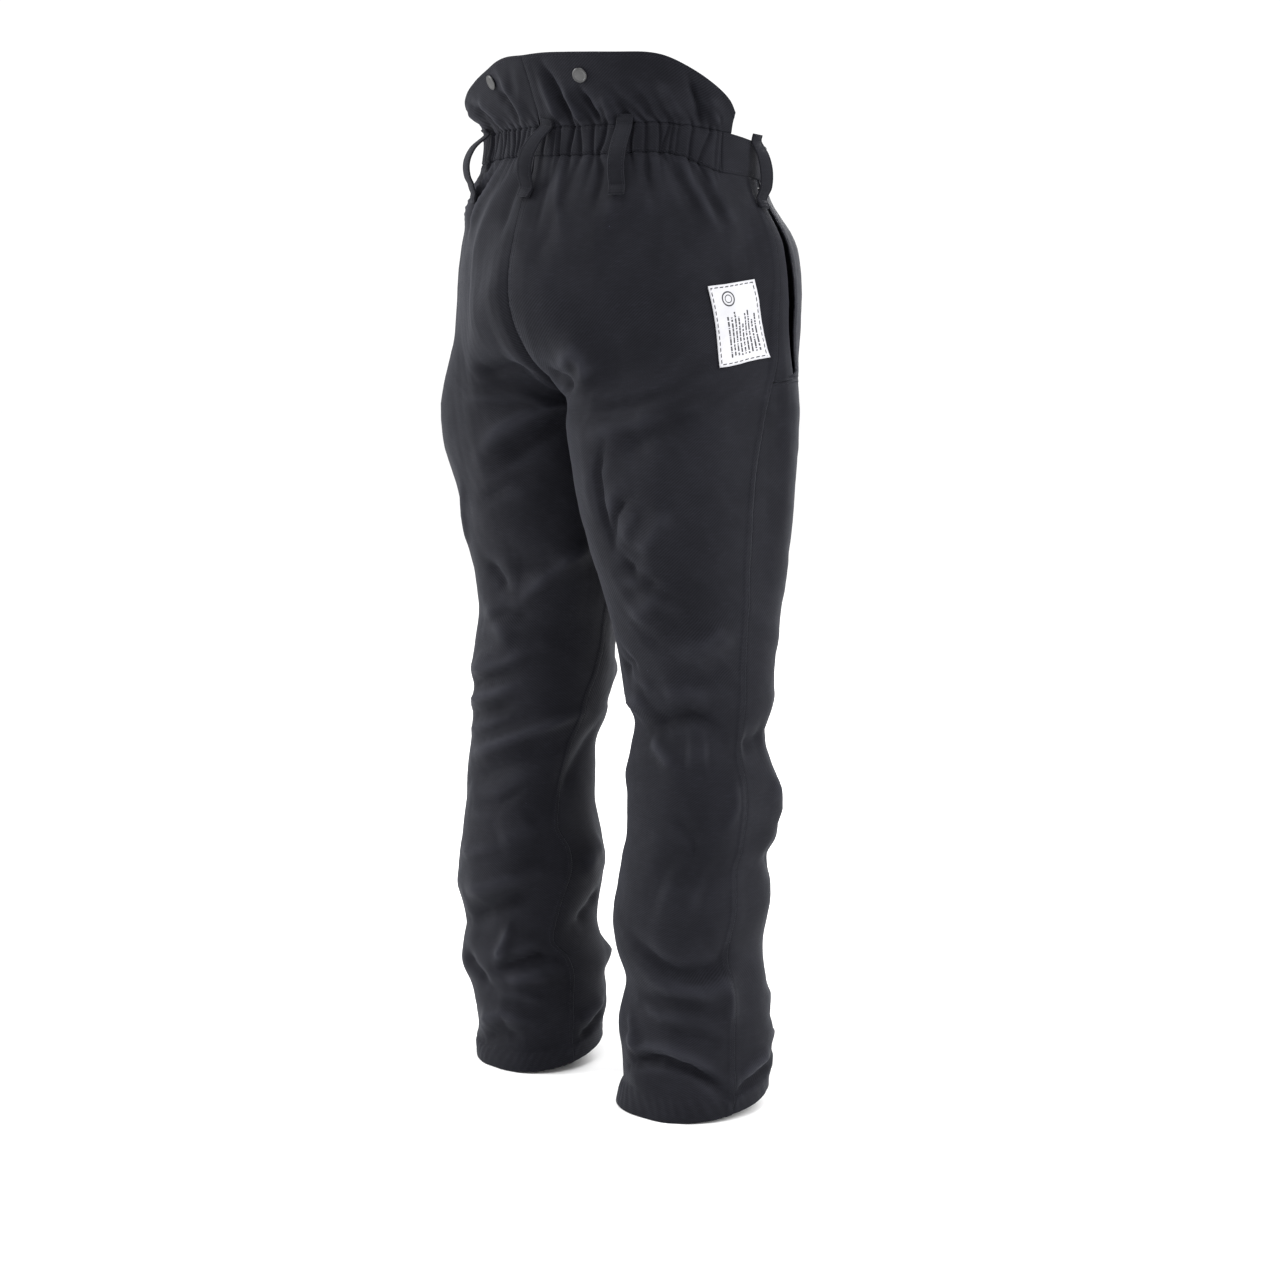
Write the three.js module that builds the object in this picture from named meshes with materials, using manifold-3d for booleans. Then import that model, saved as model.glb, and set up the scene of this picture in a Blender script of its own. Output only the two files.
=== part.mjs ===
// Chainsaw protective trousers with a high elastic back, standing as worn, as separately named pieces.
// Millimetres, +Z up. The origin is the middle of the waist line, which runs 45 mm below the top of the
// waistband behind. Front of the wearer is -Y, wearer's left is +X.
import * as THREE from 'three';
import { mergeVertices } from 'three/addons/utils/BufferGeometryUtils.js';
import Module from 'manifold-3d';

const wasm = await Module();
wasm.setup();
const { Manifold } = wasm;

// ---------------------------------------------------------------- driving dimensions
const HEM_Z = -938;            // lowest edge of the legs, below the waist line
const CROTCH_Z = -218;         // height at which the two leg tubes start to open into the seat
const RISE_BACK = 105;         // height over which the seat opens, behind
const RISE_FRONT = 70;         // and in front
const BAND_H = 45;             // top of the waistband above the waist line
const BAND_LOW_BACK = 18;      // the seam under the waistband, where the elastic has drawn the casing in
const BAND_LOW_FRONT = 7;      // and along the flat front band
const BAND_TOP_DROP = 4;       // the flat front band's top is this much lower than the casing's
const BAND_DROP = 22;          // the waist is this much lower in front than behind
const HIGH_BACK = 61;          // kidney panel above the waistband
const CLOTH = 1.8;             // outer cloth, two plies at the seams
const PAD = 6;                 // saw-guard fibre pack
const LINING = 1;
const LOOSE = 1.6;             // looser clearance between layers that only hang together
const GAP = 0.3;               // clearance kept between neighbouring pieces
const CASING_END = 0.44;       // the elastic casing ends here, as a fraction round the half waist
const LEG_TOP = -298;          // each panel is in two lengths, which meet at mid-thigh
const HEM_TURN = 25;           // depth of the turned-up hem
const LOOP_W = 16;             // belt loops
const LOOP_H = 74;
const LOOP_T = 2;
const LOOP_BULGE = 14;
const CAP_R = 7.5;             // brace snap caps, 15 mm
const POCKET_TOP = -9;         // pocket mouth, top and bottom height
const POCKET_BOTTOM = -202;
const MOUTH_LIFT = 9;          // the front edge of the mouth stands away from the hip by this much
const POUCH = 13;              // depth of the pocket pouch behind the front panel
const GUARD_TOP = -52;
const GUARD_BOTTOM = HEM_Z + 52;
const FLY_HALF = 9;            // half width of the fly gap between the front panels
const FLY_BOTTOM = -160;
const FLAP_HINGE_X = 32;       // the J-stitch that the fly flap folds along
const FLAP_EDGE_X = -8;
const TAPE_DEPTH = 6.9;        // zip tape behind the outer surface of the front
const ZIP_LENGTH = 126;
const TOOTH_PITCH = 6.5;
const SLIDER_L = 11;
const PULL_L = 22;

// Leg tube: height, centre x, centre y, half width, half depth.
const LEG = [
  [-938, 112, 6, 69, 73], [-838, 112, 9, 68, 72], [-718, 112, 16, 71, 78], [-598, 112, 6, 68, 72],
  [-538, 112, 3, 66, 70], [-460, 111, 6, 74, 80], [-398, 108, 9, 84, 91], [-318, 104, 12, 93, 103],
  [-248, 101.5, 13, 99, 112], [-213, 100.3, 13, 99.8, 116],
];
// Seat and waist: height, half width, depth behind, depth in front.
const TORSO = [
  [-218, 180, 150, 124], [-163, 182, 153, 125], [-113, 183, 156, 124], [-86, 181, 154, 123],
  [-56, 176, 146, 121.5], [-27, 168, 136, 120], [0, 159, 124, 118.5], [45, 157, 112, 116],
  [77, 162, 121, 116], [105, 166, 133, 116], [127, 168, 140, 116],
];
// Where the outside leg seam runs round the half garment: height, fraction from the back.
const OUTSEAM = [
  [-938, 0.461], [-838, 0.463], [-538, 0.486], [-298, 0.497], [-218, 0.522], [-170, 0.545], [0, 0.55],
];

// ---------------------------------------------------------------- small maths
const clamp = (x, a, b) => Math.min(b, Math.max(a, x));
const smooth = (x, a, b) => {
  const u = clamp((x - a) / (b - a), 0, 1);
  return u * u * (3 - 2 * u);
};
const bump = (x, a, b) => (x <= a || x >= b ? 0 : Math.sin((Math.PI * (x - a)) / (b - a)) ** 2);
const power = (c, p) => Math.sign(c) * Math.abs(c) ** p;

// Smooth curve through a table's rows.
function along(table, z, k) {
  const n = table.length;
  const slope = (i) => {
    const a = Math.max(0, i - 1);
    const b = Math.min(n - 1, i + 1);
    return (table[b][k] - table[a][k]) / (table[b][0] - table[a][0]);
  };
  let i = 0;
  while (i < n - 2 && z > table[i + 1][0]) i += 1;
  const h = table[i + 1][0] - table[i][0];
  const u = clamp((z - table[i][0]) / h, 0, 1);
  const u2 = u * u;
  const u3 = u2 * u;
  return (2 * u3 - 3 * u2 + 1) * table[i][k] + (u3 - 2 * u2 + u) * h * slope(i)
    + (3 * u2 - 2 * u3) * table[i + 1][k] + (u3 - u2) * h * slope(i + 1);
}
const outseam = (v) => along(OUTSEAM, v, 1);
// Height of the seam under the waistband, and rows below it lifted to follow that seam.
const bandLow = (t) => (
  BAND_LOW_BACK + (BAND_LOW_FRONT - BAND_LOW_BACK) * smooth(Math.abs(t), 0.3, CASING_END)
);
const bandTop = (t) => BAND_H - BAND_TOP_DROP * smooth(t, CASING_END, 0.6);
const underBand = (t, v) => v + bandLow(t) * smooth(v, -40, 0);

// ---------------------------------------------------------------- the garment's outer surface
// t runs round the left half: 0 inside leg or centre back, 0.25 back, 0.5 side, 0.75 front,
// 1 inside leg again or centre front. v is the height of the row at the side.
function surface(t, v) {
  const zl = Math.min(v, LEG[LEG.length - 1][0]);
  const zt = Math.max(v, TORSO[0][0]);
  const leg = [1, 2, 3, 4].map((k) => along(LEG, zl, k));
  const body = [1, 2, 3].map((k) => along(TORSO, zt, k));
  const a1 = Math.PI - 2 * Math.PI * t;
  const lx = leg[0] + leg[2] * power(Math.cos(a1), 0.93);
  const ly = leg[1] + leg[3] * power(Math.sin(a1), 0.93);
  const a2 = Math.PI / 2 - Math.PI * t;
  const p = 1.04 - 0.16 * smooth(t, 0.35, 0.65);
  const s = Math.sin(a2);
  const bx = body[0] * power(Math.cos(a2), p);
  const by = (s > 0 ? body[1] : body[2]) * power(s, p);
  const rise = RISE_BACK + (RISE_FRONT - RISE_BACK) * smooth(t, 0.3, 0.7);
  const al = clamp((v - CROTCH_Z) / rise, 0, 1) * Math.PI / 2;
  const middle = smooth(v, CROTCH_Z - 60, CROTCH_Z + rise);
  const w = middle + (Math.sin(al) - middle) * Math.abs(Math.cos(Math.PI * t)) ** 4;
  const end = v > CROTCH_Z && v < CROTCH_Z + rise ? CROTCH_Z + rise * (1 - Math.cos(al)) : v;
  const z = v + (end - v) * Math.abs(Math.cos(Math.PI * t)) ** 3
    - BAND_DROP * smooth(t, 0.25, 1) * smooth(v, -118, 0);
  return new THREE.Vector3((1 - w) * lx + w * bx, (1 - w) * ly + w * by, z);
}

// Outward unit normal.
function normal(t, v) {
  const e = 0.004;
  const lo = v < CROTCH_Z ? t - e : Math.max(0, t - e);
  const hi = v < CROTCH_Z ? t + e : Math.min(1, t + e);
  const dt = surface(hi, v).sub(surface(lo, v));
  const dv = surface(t, v + 3).sub(surface(t, v - 3));
  const n = new THREE.Vector3().crossVectors(dv, dt);
  return n.normalize();
}

// A point `depth` inside the surface. Negative t means the mirror half, for pieces across the middle.
function at(t, v, depth) {
  const q = Math.abs(t);
  const p = surface(q, v).addScaledVector(normal(q, v), -depth);
  if (t < 0) p.x = -p.x;
  return p;
}
// The same counted from the centre front, for pieces across the fly.
const atFront = (c, v, depth) => {
  const p = at(1 - Math.abs(c), v, depth);
  if (c < 0) p.x = -p.x;
  return p;
};
// Fraction t, from the front, at which the row v reaches distance x from the middle.
function frontT(x, v) {
  let lo = 0.7;
  let hi = 1;
  for (let i = 0; i < 30; i += 1) {
    const mid = (lo + hi) / 2;
    if (surface(mid, v).x > x) lo = mid;
    else hi = mid;
  }
  return (lo + hi) / 2;
}

// ---------------------------------------------------------------- solids
function geometryOf(points, faces) {
  const g = new THREE.BufferGeometry();
  g.setAttribute('position', new THREE.Float32BufferAttribute(points.flatMap((p) => [p.x, p.y, p.z]), 3));
  g.setIndex(faces.flat());
  g.computeVertexNormals();
  return g;
}

// A sheet with thickness: outer(i, j) and inner(i, j) give the two faces' points on a grid.
// Seen from outside, i runs to the right when `flip` is false. `ring` closes it in i.
function sheet(nu, nv, outer, inner, ring = false, flip = false) {
  const points = [];
  const faces = [];
  const cols = ring ? nu : nu + 1;
  const id = (k, i, j) => k * cols * (nv + 1) + j * cols + (ring ? i % nu : i);
  [outer, inner].forEach((f) => {
    for (let j = 0; j <= nv; j += 1) {
      for (let i = 0; i < cols; i += 1) points.push(f(i, j));
    }
  });
  const quad = (a, b, c, d) => {
    faces.push(flip ? [a, c, b] : [a, b, c]);
    faces.push(flip ? [a, d, c] : [a, c, d]);
  };
  for (let j = 0; j < nv; j += 1) {
    for (let i = 0; i < nu; i += 1) {
      quad(id(0, i, j), id(0, i + 1, j), id(0, i + 1, j + 1), id(0, i, j + 1));
      quad(id(1, i, j), id(1, i, j + 1), id(1, i + 1, j + 1), id(1, i + 1, j));
    }
  }
  for (let i = 0; i < nu; i += 1) {
    quad(id(0, i + 1, 0), id(0, i, 0), id(1, i, 0), id(1, i + 1, 0));
    quad(id(0, i, nv), id(0, i + 1, nv), id(1, i + 1, nv), id(1, i, nv));
  }
  if (!ring) {
    for (let j = 0; j < nv; j += 1) {
      quad(id(0, 0, j), id(0, 0, j + 1), id(1, 0, j + 1), id(1, 0, j));
      quad(id(0, nu, j + 1), id(0, nu, j), id(1, nu, j), id(1, nu, j + 1));
    }
  }
  return geometryOf(points, faces);
}

// A patch of the garment between two edges t = from(v) and t = to(v) over a list of heights.
// out(t, v) and inn(t, v) are its two depths below the outer surface, height(t, v) moves its rows.
function patch(rows, nt, from, to, out, inn, height = (t, v) => v) {
  const make = (depth) => (i, j) => {
    const v = rows[j];
    const a = from(v);
    const b = to(v);
    const t = a + ((b - a) * i) / nt;
    const p = at(t, height(t, v), depth(t, v));
    p.x = Math.max(p.x, GAP / 2);
    return p;
  };
  return sheet(nt, rows.length - 1, make(out), make(inn), false, true);
}

const range = (a, b, n) => Array.from({ length: n + 1 }, (_, i) => a + ((b - a) * i) / n);

function mirrored(g) {
  const m = g.clone();
  const p = m.attributes.position;
  for (let i = 0; i < p.count; i += 1) p.setX(i, -p.getX(i));
  if (m.index) {
    const s = m.index.array;
    for (let i = 0; i < s.length; i += 3) [s[i], s[i + 1]] = [s[i + 1], s[i]];
  } else {
    for (let i = 0; i < p.count; i += 3) {
      const q = [0, 1, 2].map((k) => p.getComponent(i, k));
      for (let k = 0; k < 3; k += 1) {
        p.setComponent(i, k, p.getComponent(i + 1, k));
        p.setComponent(i + 1, k, q[k]);
      }
    }
  }
  m.computeVertexNormals();
  return m;
}

function solidOf(geometry) {
  const g = geometry.clone();
  g.deleteAttribute('normal');
  g.deleteAttribute('uv');
  const merged = mergeVertices(g);
  return new Manifold(new wasm.Mesh({
    numProp: 3,
    vertProperties: merged.attributes.position.array,
    triVerts: new Uint32Array(merged.index.array),
  }));
}

function fromManifold(m) {
  const mesh = m.getMesh();
  const g = new THREE.BufferGeometry();
  const pos = [];
  for (let i = 0; i < mesh.numVert; i += 1) {
    for (let k = 0; k < 3; k += 1) pos.push(mesh.vertProperties[i * mesh.numProp + k]);
  }
  g.setAttribute('position', new THREE.Float32BufferAttribute(pos, 3));
  g.setIndex(Array.from(mesh.triVerts));
  g.computeVertexNormals();
  return g;
}

// ---------------------------------------------------------------- materials and the group
const MATERIALS = {
  shell: new THREE.MeshStandardMaterial({ name: 'shell', color: 0x2c2e36, roughness: 0.85 }),
  binding: new THREE.MeshStandardMaterial({ name: 'binding', color: 0x26282f, roughness: 0.8 }),
  padding: new THREE.MeshStandardMaterial({ name: 'padding', color: 0xd9d8c8, roughness: 0.95 }),
  lining: new THREE.MeshStandardMaterial({ name: 'lining', color: 0x1e1f24, roughness: 0.7 }),
  elastic: new THREE.MeshStandardMaterial({ name: 'elastic', color: 0x202024, roughness: 0.9 }),
  snap: new THREE.MeshStandardMaterial({ name: 'snap', color: 0x5a5a5c, roughness: 0.35, metalness: 1 }),
  zip: new THREE.MeshStandardMaterial({ name: 'zip', color: 0x1c1d20, roughness: 0.55 }),
  label: new THREE.MeshStandardMaterial({ name: 'label', color: 0xe9eaf0, roughness: 0.6 }),
};
const trousers = new THREE.Group();
trousers.name = 'chainsaw_trousers';
function add(name, geometry, slot) {
  const mesh = new THREE.Mesh(geometry, MATERIALS[slot]);
  mesh.name = name;
  trousers.add(mesh);
}
function addPair(name, geometry, slot) {
  add(`${name}_left`, geometry, slot);
  add(`${name}_right`, mirrored(geometry), slot);
}

// ---------------------------------------------------------------- leg and seat panels
const seamGap = (v) => (v < CROTCH_Z ? GAP / 430 : GAP / 1100);
const PANEL_ROWS = [
  HEM_Z, -888, -838, -778, -718, -658, -598, -538, -499, -460, -398, -348, -298, -258, CROTCH_Z - 4,
  CROTCH_Z + 4, -196, -178, -158, -136, -113, -86, -56, -27, -GAP / 2,
];
const above = (rows) => [LEG_TOP + GAP / 2, ...rows.filter((v) => v > LEG_TOP)];
const below = (rows) => [...rows.filter((v) => v < LEG_TOP), LEG_TOP - GAP / 2];
const backPanel = (rows) => patch(
  rows, 9, (v) => (v < CROTCH_Z ? seamGap(v) : 0), (v) => outseam(v) - seamGap(v), () => 0, () => CLOTH,
  underBand,
);
addPair('back_panel', backPanel(above(PANEL_ROWS)), 'shell');
addPair('back_leg', backPanel(below(PANEL_ROWS)), 'shell');

// Front panel: its outer edge steps forward to the pocket mouth, its inner edge steps back at the fly.
const mouthT = (v) => 0.604 - 0.018 * smooth(v, POCKET_BOTTOM, 0);
const inMouth = (v) => smooth(v, POCKET_BOTTOM, POCKET_BOTTOM + 7);
const mouthShape = (v) => bump(v, POCKET_BOTTOM - 6, -16);
const lift = (t, v) => -MOUTH_LIFT * mouthShape(v) * (1 - smooth(t, mouthT(v) - 0.01, mouthT(v) + 0.15));
const flyX = (v) => GAP + (FLY_HALF - GAP) * smooth(v, FLY_BOTTOM, FLY_BOTTOM + 9);
const frontEdge = (v) => (v < CROTCH_Z + RISE_FRONT * 0.45 ? 1 - seamGap(v) : frontT(flyX(v), v));
const FRONT_ROWS = [
  HEM_Z, -888, -838, -778, -718, -658, -598, -538, -499, -460, -398, -348, -298, -258, CROTCH_Z - 4,
  CROTCH_Z + 5, POCKET_BOTTOM, POCKET_BOTTOM + 7, -184, -172, FLY_BOTTOM, FLY_BOTTOM + 9, -120, -86, -56, -27,
  -GAP / 2,
];
const frontSide = (v) => outseam(v) + seamGap(v) + (mouthT(v) - outseam(v)) * inMouth(v);
const frontPanel = (rows) => patch(
  rows, 10, frontSide, frontEdge, lift, (t, v) => lift(t, v) + CLOTH, underBand,
);
addPair('front_panel', frontPanel(above(FRONT_ROWS)), 'shell');
addPair('front_leg', frontPanel(below(FRONT_ROWS)), 'shell');

// Pocket: the facing fills the hip behind the mouth and dips under the front panel, the bag hangs from it.
const facingRows = [POCKET_BOTTOM + 9, -170, -140, -110, -80, -50, -27, -4];
const facingDepth = (t, v) => {
  const dip = smooth(t, mouthT(v) - 0.022, mouthT(v) + 0.05) * smooth(v, POCKET_BOTTOM, POCKET_BOTTOM + 40);
  return 3.2 * smooth(t, mouthT(v) - 0.03, mouthT(v) - 0.008) + (POUCH - 4) * dip;
};
addPair('pocket_facing', patch(
  facingRows, 6, (v) => outseam(v) + 0.004, (v) => mouthT(v) + 0.05,
  (t, v) => facingDepth(t, v) + 0.02, (t, v) => facingDepth(t, v) + CLOTH,
), 'shell');
const bagRows = [-262, -240, -215, -190, -160, -125, -90, -50, -6];
const bagDepth = (t, v) => {
  const u = (t - 0.56) / 0.235;
  const side = smooth(u, 0, 0.22) * (1 - smooth(u, 0.78, 1));
  return CLOTH + LOOSE + POUCH * side * smooth(v, -262, -222);
};
const bagOut = (t, v) => Math.max(bagDepth(t, v), facingCover(t, v));
addPair('pocket_bag', patch(
  bagRows, 9, () => 0.56, () => 0.795, bagOut, (t, v) => bagOut(t, v) + 0.8,
), 'lining');
function facingCover(t, v) {
  return facingDepth(Math.min(t, mouthT(v) + 0.05), Math.max(v, POCKET_BOTTOM + 9))
    * (1 - smooth(t, mouthT(v) + 0.09, 0.78)) + CLOTH + 1.6
    + 1.6 * bump(v, POCKET_BOTTOM - 50, POCKET_BOTTOM + 50) * (1 - smooth(t, 0.6, 0.68));
}

// ---------------------------------------------------------------- saw guard packs and their linings
const pocketRoom = (t, v) => {
  const wide = smooth(t, 0.5, 0.56) * (1 - smooth(t, 0.8, 0.87));
  return (POUCH + 3.4) * wide * smooth(v, -300, -250);
};
const guardRows = [GUARD_BOTTOM, -838, -778, -718, -658, -598, -538, -499, -460, -398, -348, -298, -258,
  CROTCH_Z - 4, CROTCH_Z + 5, -196, -172, -145, -120, -86, GUARD_TOP];
const guardSide = (v) => outseam(v) + 0.012;
const guardInner = (v) => {
  if (v < CROTCH_Z + 8) return 0.985;
  return frontT(5 + 16 * smooth(v, FLY_BOTTOM - 26, FLY_BOTTOM), v);
};
const guardDepth = (t, v) => CLOTH + LOOSE + pocketRoom(t, v);
addPair('saw_guard', patch(
  guardRows, 7, guardSide, guardInner, guardDepth, (t, v) => guardDepth(t, v) + PAD,
), 'padding');
addPair('guard_lining', patch(
  guardRows, 7, guardSide, guardInner,
  (t, v) => guardDepth(t, v) + PAD + 0.9, (t, v) => guardDepth(t, v) + PAD + 0.9 + LINING,
), 'lining');

// Turned-up hems, a ring inside each leg's end.
const HEM_N = 20;
const hem = (depth) => (i, j) => at(((i + 0.5) / HEM_N) % 1, HEM_Z + 1 + j * HEM_TURN, depth);
addPair('hem_cuff', sheet(HEM_N, 1, hem(CLOTH + LOOSE), hem(CLOTH + LOOSE + 1.1), true, true), 'shell');

// ---------------------------------------------------------------- waist
// A piece across the centre back between s = -end and s = +end, with rows given as heights.
function across(rows, n, end, depth) {
  return (i, j) => {
    const s = -end + (2 * end * i) / n;
    const v = rows(s, j);
    return at(s === 0 ? 1e-6 : s, v, depth(s, v));
  };
}
const CASING_N = 36;
const SEAM_GAP = 1.2;           // the casing keeps this far above the coarser edge of the seat panels
const inBand = (t, k) => bandLow(t) + SEAM_GAP + (BAND_H - bandLow(t) - SEAM_GAP - GAP / 2) * k;
const ruche = (s, v) => (
  0.9 * Math.cos((Math.PI * CASING_N * s) / (2 * CASING_END)) * bump(v, bandLow(s) - 4, BAND_H + 4)
);
const casing = (out, inn) => {
  const make = (depth) => across((s, j) => inBand(s, j / 3), CASING_N, CASING_END, depth);
  return sheet(CASING_N, 3, make(out), make(inn), false, true);
};
add('waist_casing', casing((s, v) => ruche(s, v) - 0.6, (s, v) => ruche(s, v) + 0.6), 'shell');
const elasticEnd = CASING_END - 0.012;
function plainAcross(height, n, end, d0, d1, nv = 2) {
  const make = (d) => across((s, j) => height(s, j / nv), n, end, () => d);
  return sheet(n, nv, make(d0), make(d1), false, true);
}
const elasticRows = (s, k) => inBand(s, 0.1 + 0.8 * k);
add('waist_elastic', plainAcross(elasticRows, 22, elasticEnd, 2.0, 3.0), 'elastic');
add('casing_lining', plainAcross(inBand, 22, CASING_END, 3.9, 4.7), 'lining');

// Flat front waistbands, from the casing's ends to the centre front.
const frontBand = (d0, d1) => patch(
  [0, 0.5, 1], 9, () => CASING_END + 0.001, () => frontT(1, BAND_H / 2), () => d0, () => d1,
  (t, k) => bandLow(t) + GAP / 2 + (bandTop(t) - bandLow(t) - GAP) * k,
);
addPair('front_waistband', frontBand(-0.4, 1.8), 'shell');
addPair('front_band_facing', frontBand(2.2, 3.4), 'lining');

// High back: two halves that meet at the centre back seam, with one facing behind them.
const TOP_END = 0.475;
const backTop = (t) => {
  const share = (1 - smooth(t, 0.22, 0.5)) * (1 + 0.04 * bump(t, -0.1, 0.4));
  return BAND_H + 2.5 + HIGH_BACK * share;
};
const highRows = 4;
function highBack(d0, d1) {
  const f = (d) => (i, j) => {
    const t = (TOP_END * i) / 9;
    const v = BAND_H + GAP / 2 + ((backTop(t) - BAND_H) * j) / highRows;
    const p = at(Math.max(t, 1e-6), v, d);
    p.x = Math.max(p.x, GAP / 2);
    return p;
  };
  return sheet(9, highRows, f(d0), f(d1), false, true);
}
addPair('high_back', highBack(0, 1.8), 'shell');
function highFacing(d0, d1) {
  const n = 18;
  const f = (d) => (i, j) => {
    const s = -TOP_END + (2 * TOP_END * i) / n;
    const v = BAND_H + 1 + ((backTop(Math.abs(s)) - BAND_H - 1.6) * j) / 4;
    return at(s === 0 ? 1e-6 : s, v, d);
  };
  return sheet(n, 4, f(d0), f(d1), false, true);
}
add('high_back_facing', highFacing(2.9, 3.9), 'lining');

// ---------------------------------------------------------------- belt loops
// A strap sewn flat at both ends and standing off the band between them.
function beltLoop(t) {
  const q = Math.abs(t);
  const n = 12;
  const top = 54;
  const out = normal(q, BAND_H / 2);
  out.z = 0;
  out.normalize();
  const side = new THREE.Vector3(0, 0, 1).cross(out).normalize();
  const lineAt = (j) => {
    const v = top - (LOOP_H * j) / n;
    const p = surface(q, v);
    const flat = smooth(j / n, 0, 0.3) * (1 - smooth(j / n, 0.7, 1));
    return { v, p, h: 1.5 + (LOOP_BULGE) * flat };
  };
  const f = (d) => (i, j) => {
    const { p, h } = lineAt(n - j);
    return p.clone().addScaledVector(out, h + d).addScaledVector(side, (i - 0.5) * LOOP_W);
  };
  return sheet(1, n, f(LOOP_T), f(0));
}
add('belt_loop_centre', beltLoop(1e-6), 'binding');
[['back', 0.2], ['side', 0.58], ['front', 0.82]].forEach(([name, t]) => {
  addPair(`belt_loop_${name}`, beltLoop(t), 'binding');
});

// ---------------------------------------------------------------- snap fasteners
// A turned part whose axis stands on the surface at (t, v), base `depth` above (negative) or below it.
function turned(profile, n, p, dir) {
  const g = new THREE.LatheGeometry(profile.map(([r, h]) => new THREE.Vector2(r, h)), n);
  const q = new THREE.Quaternion().setFromUnitVectors(new THREE.Vector3(0, 1, 0), dir);
  g.applyQuaternion(q);
  g.translate(p.x, p.y, p.z);
  return g;
}
const capProfile = (r) => [[0, 0], [r - 0.8, 0], [r, 0.6], [r - 0.5, 1.3], [r - 1.6, 1.6], [0, 1.9]];
const studProfile = [[0, 0], [6, 0], [6, 0.7], [3.1, 0.9], [2.6, 1.6], [3.1, 2.6], [2.4, 3.2], [0, 3.2]];
function snapSet(t, v, facing) {
  const out = normal(t, v);
  const p = surface(t, v);
  return [
    turned(capProfile(CAP_R), 12, p.clone().addScaledVector(out, 0.45 + 0.35), out),
    turned(studProfile, 10, p.clone().addScaledVector(out, -facing), out.clone().negate()),
  ];
}
const [backCap, backStud] = snapSet(0.125, 92, 4.9);
addPair('brace_cap_back', backCap, 'snap');
addPair('brace_stud_back', backStud, 'snap');
const [frontCap, frontStud] = snapSet(0.74, BAND_H / 2, 4.3);
addPair('brace_cap_front', frontCap, 'snap');
addPair('brace_stud_front', frontStud, 'snap');

// ---------------------------------------------------------------- fly
// The zip lies in a flat frame: origin at its foot, up along the zip, forward out of the garment.
const flyTop = surface(1, -12);
const flyFoot = surface(1, FLY_BOTTOM + 18);
const zipUp = flyTop.clone().sub(flyFoot).setX(0).normalize();
const zipOut = new THREE.Vector3(1, 0, 0).cross(zipUp).negate().normalize();
if (zipOut.y > 0) zipOut.negate();
const zipFoot = flyFoot.clone().addScaledVector(zipOut, -TAPE_DEPTH).setX(0);
const toZip = new THREE.Matrix4().makeBasis(new THREE.Vector3().crossVectors(zipUp, zipOut), zipUp, zipOut)
  .setPosition(zipFoot);
const zipBox = (x0, x1, u0, u1, n0, n1) => {
  const g = new THREE.BoxGeometry(x1 - x0, u1 - u0, n1 - n0);
  g.translate((x0 + x1) / 2, (u0 + u1) / 2, (n0 + n1) / 2);
  g.applyMatrix4(toZip);
  return g;
};
addPair('zip_tape', zipBox(3.5, 13, 0, ZIP_LENGTH, -0.3, 0.3), 'zip');

// Tooth rows: a cord with a tooth at each pitch, standing just clear of each other for the slider's web.
function toothRow() {
  const shape = new THREE.Shape();
  const n = Math.floor((ZIP_LENGTH - 8) / TOOTH_PITCH);
  const u0 = 4;
  shape.moveTo(3.2, u0);
  shape.lineTo(3.2, u0 + n * TOOTH_PITCH);
  for (let i = n - 1; i >= 0; i -= 1) {
    const u = u0 + i * TOOTH_PITCH;
    shape.lineTo(1.9, u + TOOTH_PITCH);
    shape.lineTo(0.7, u + TOOTH_PITCH * 0.8);
    shape.lineTo(0.7, u + TOOTH_PITCH * 0.2);
    shape.lineTo(1.9, u + 0.001);
  }
  shape.lineTo(1.9, u0);
  shape.closePath();
  const g = new THREE.ExtrudeGeometry(shape, { depth: 1.6, bevelEnabled: false });
  g.translate(0, 0, -0.8);
  g.applyMatrix4(toZip);
  return g;
}
addPair('zip_teeth', toothRow(), 'zip');
add('zip_bottom_stop', zipBox(-3.2, 3.2, 0.4, 3.4, -1.2, 1.2), 'snap');

// Slider: two plates joined by a web between the tooth rows, with a lug for the pull.
const sliderFoot = ZIP_LENGTH - SLIDER_L - 3;
function slider() {
  const block = (x0, x1, y0, y1, z0, z1) => {
    const g = new THREE.BoxGeometry(x1 - x0, y1 - y0, z1 - z0);
    g.translate((x0 + x1) / 2, (y0 + y1) / 2, (z0 + z1) / 2);
    return solidOf(g);
  };
  let m = block(-4.6, 4.6, 0, SLIDER_L, 1.2, 2.2);
  m = m.add(block(-4.6, 4.6, 0, SLIDER_L, -2.2, -1.2));
  m = m.add(block(-0.35, 0.35, 1, SLIDER_L - 1, -1.6, 1.6));
  m = m.add(block(-0.8, 0.8, 2.4, 8.6, 1.8, 5));
  m = m.subtract(block(-3, 3, 4.1, 6.9, 2.6, 4.3));
  m = m.translate([0, sliderFoot, 0]);
  const g = fromManifold(m);
  g.applyMatrix4(toZip);
  return g;
}
add('zip_slider', slider(), 'snap');
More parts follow.
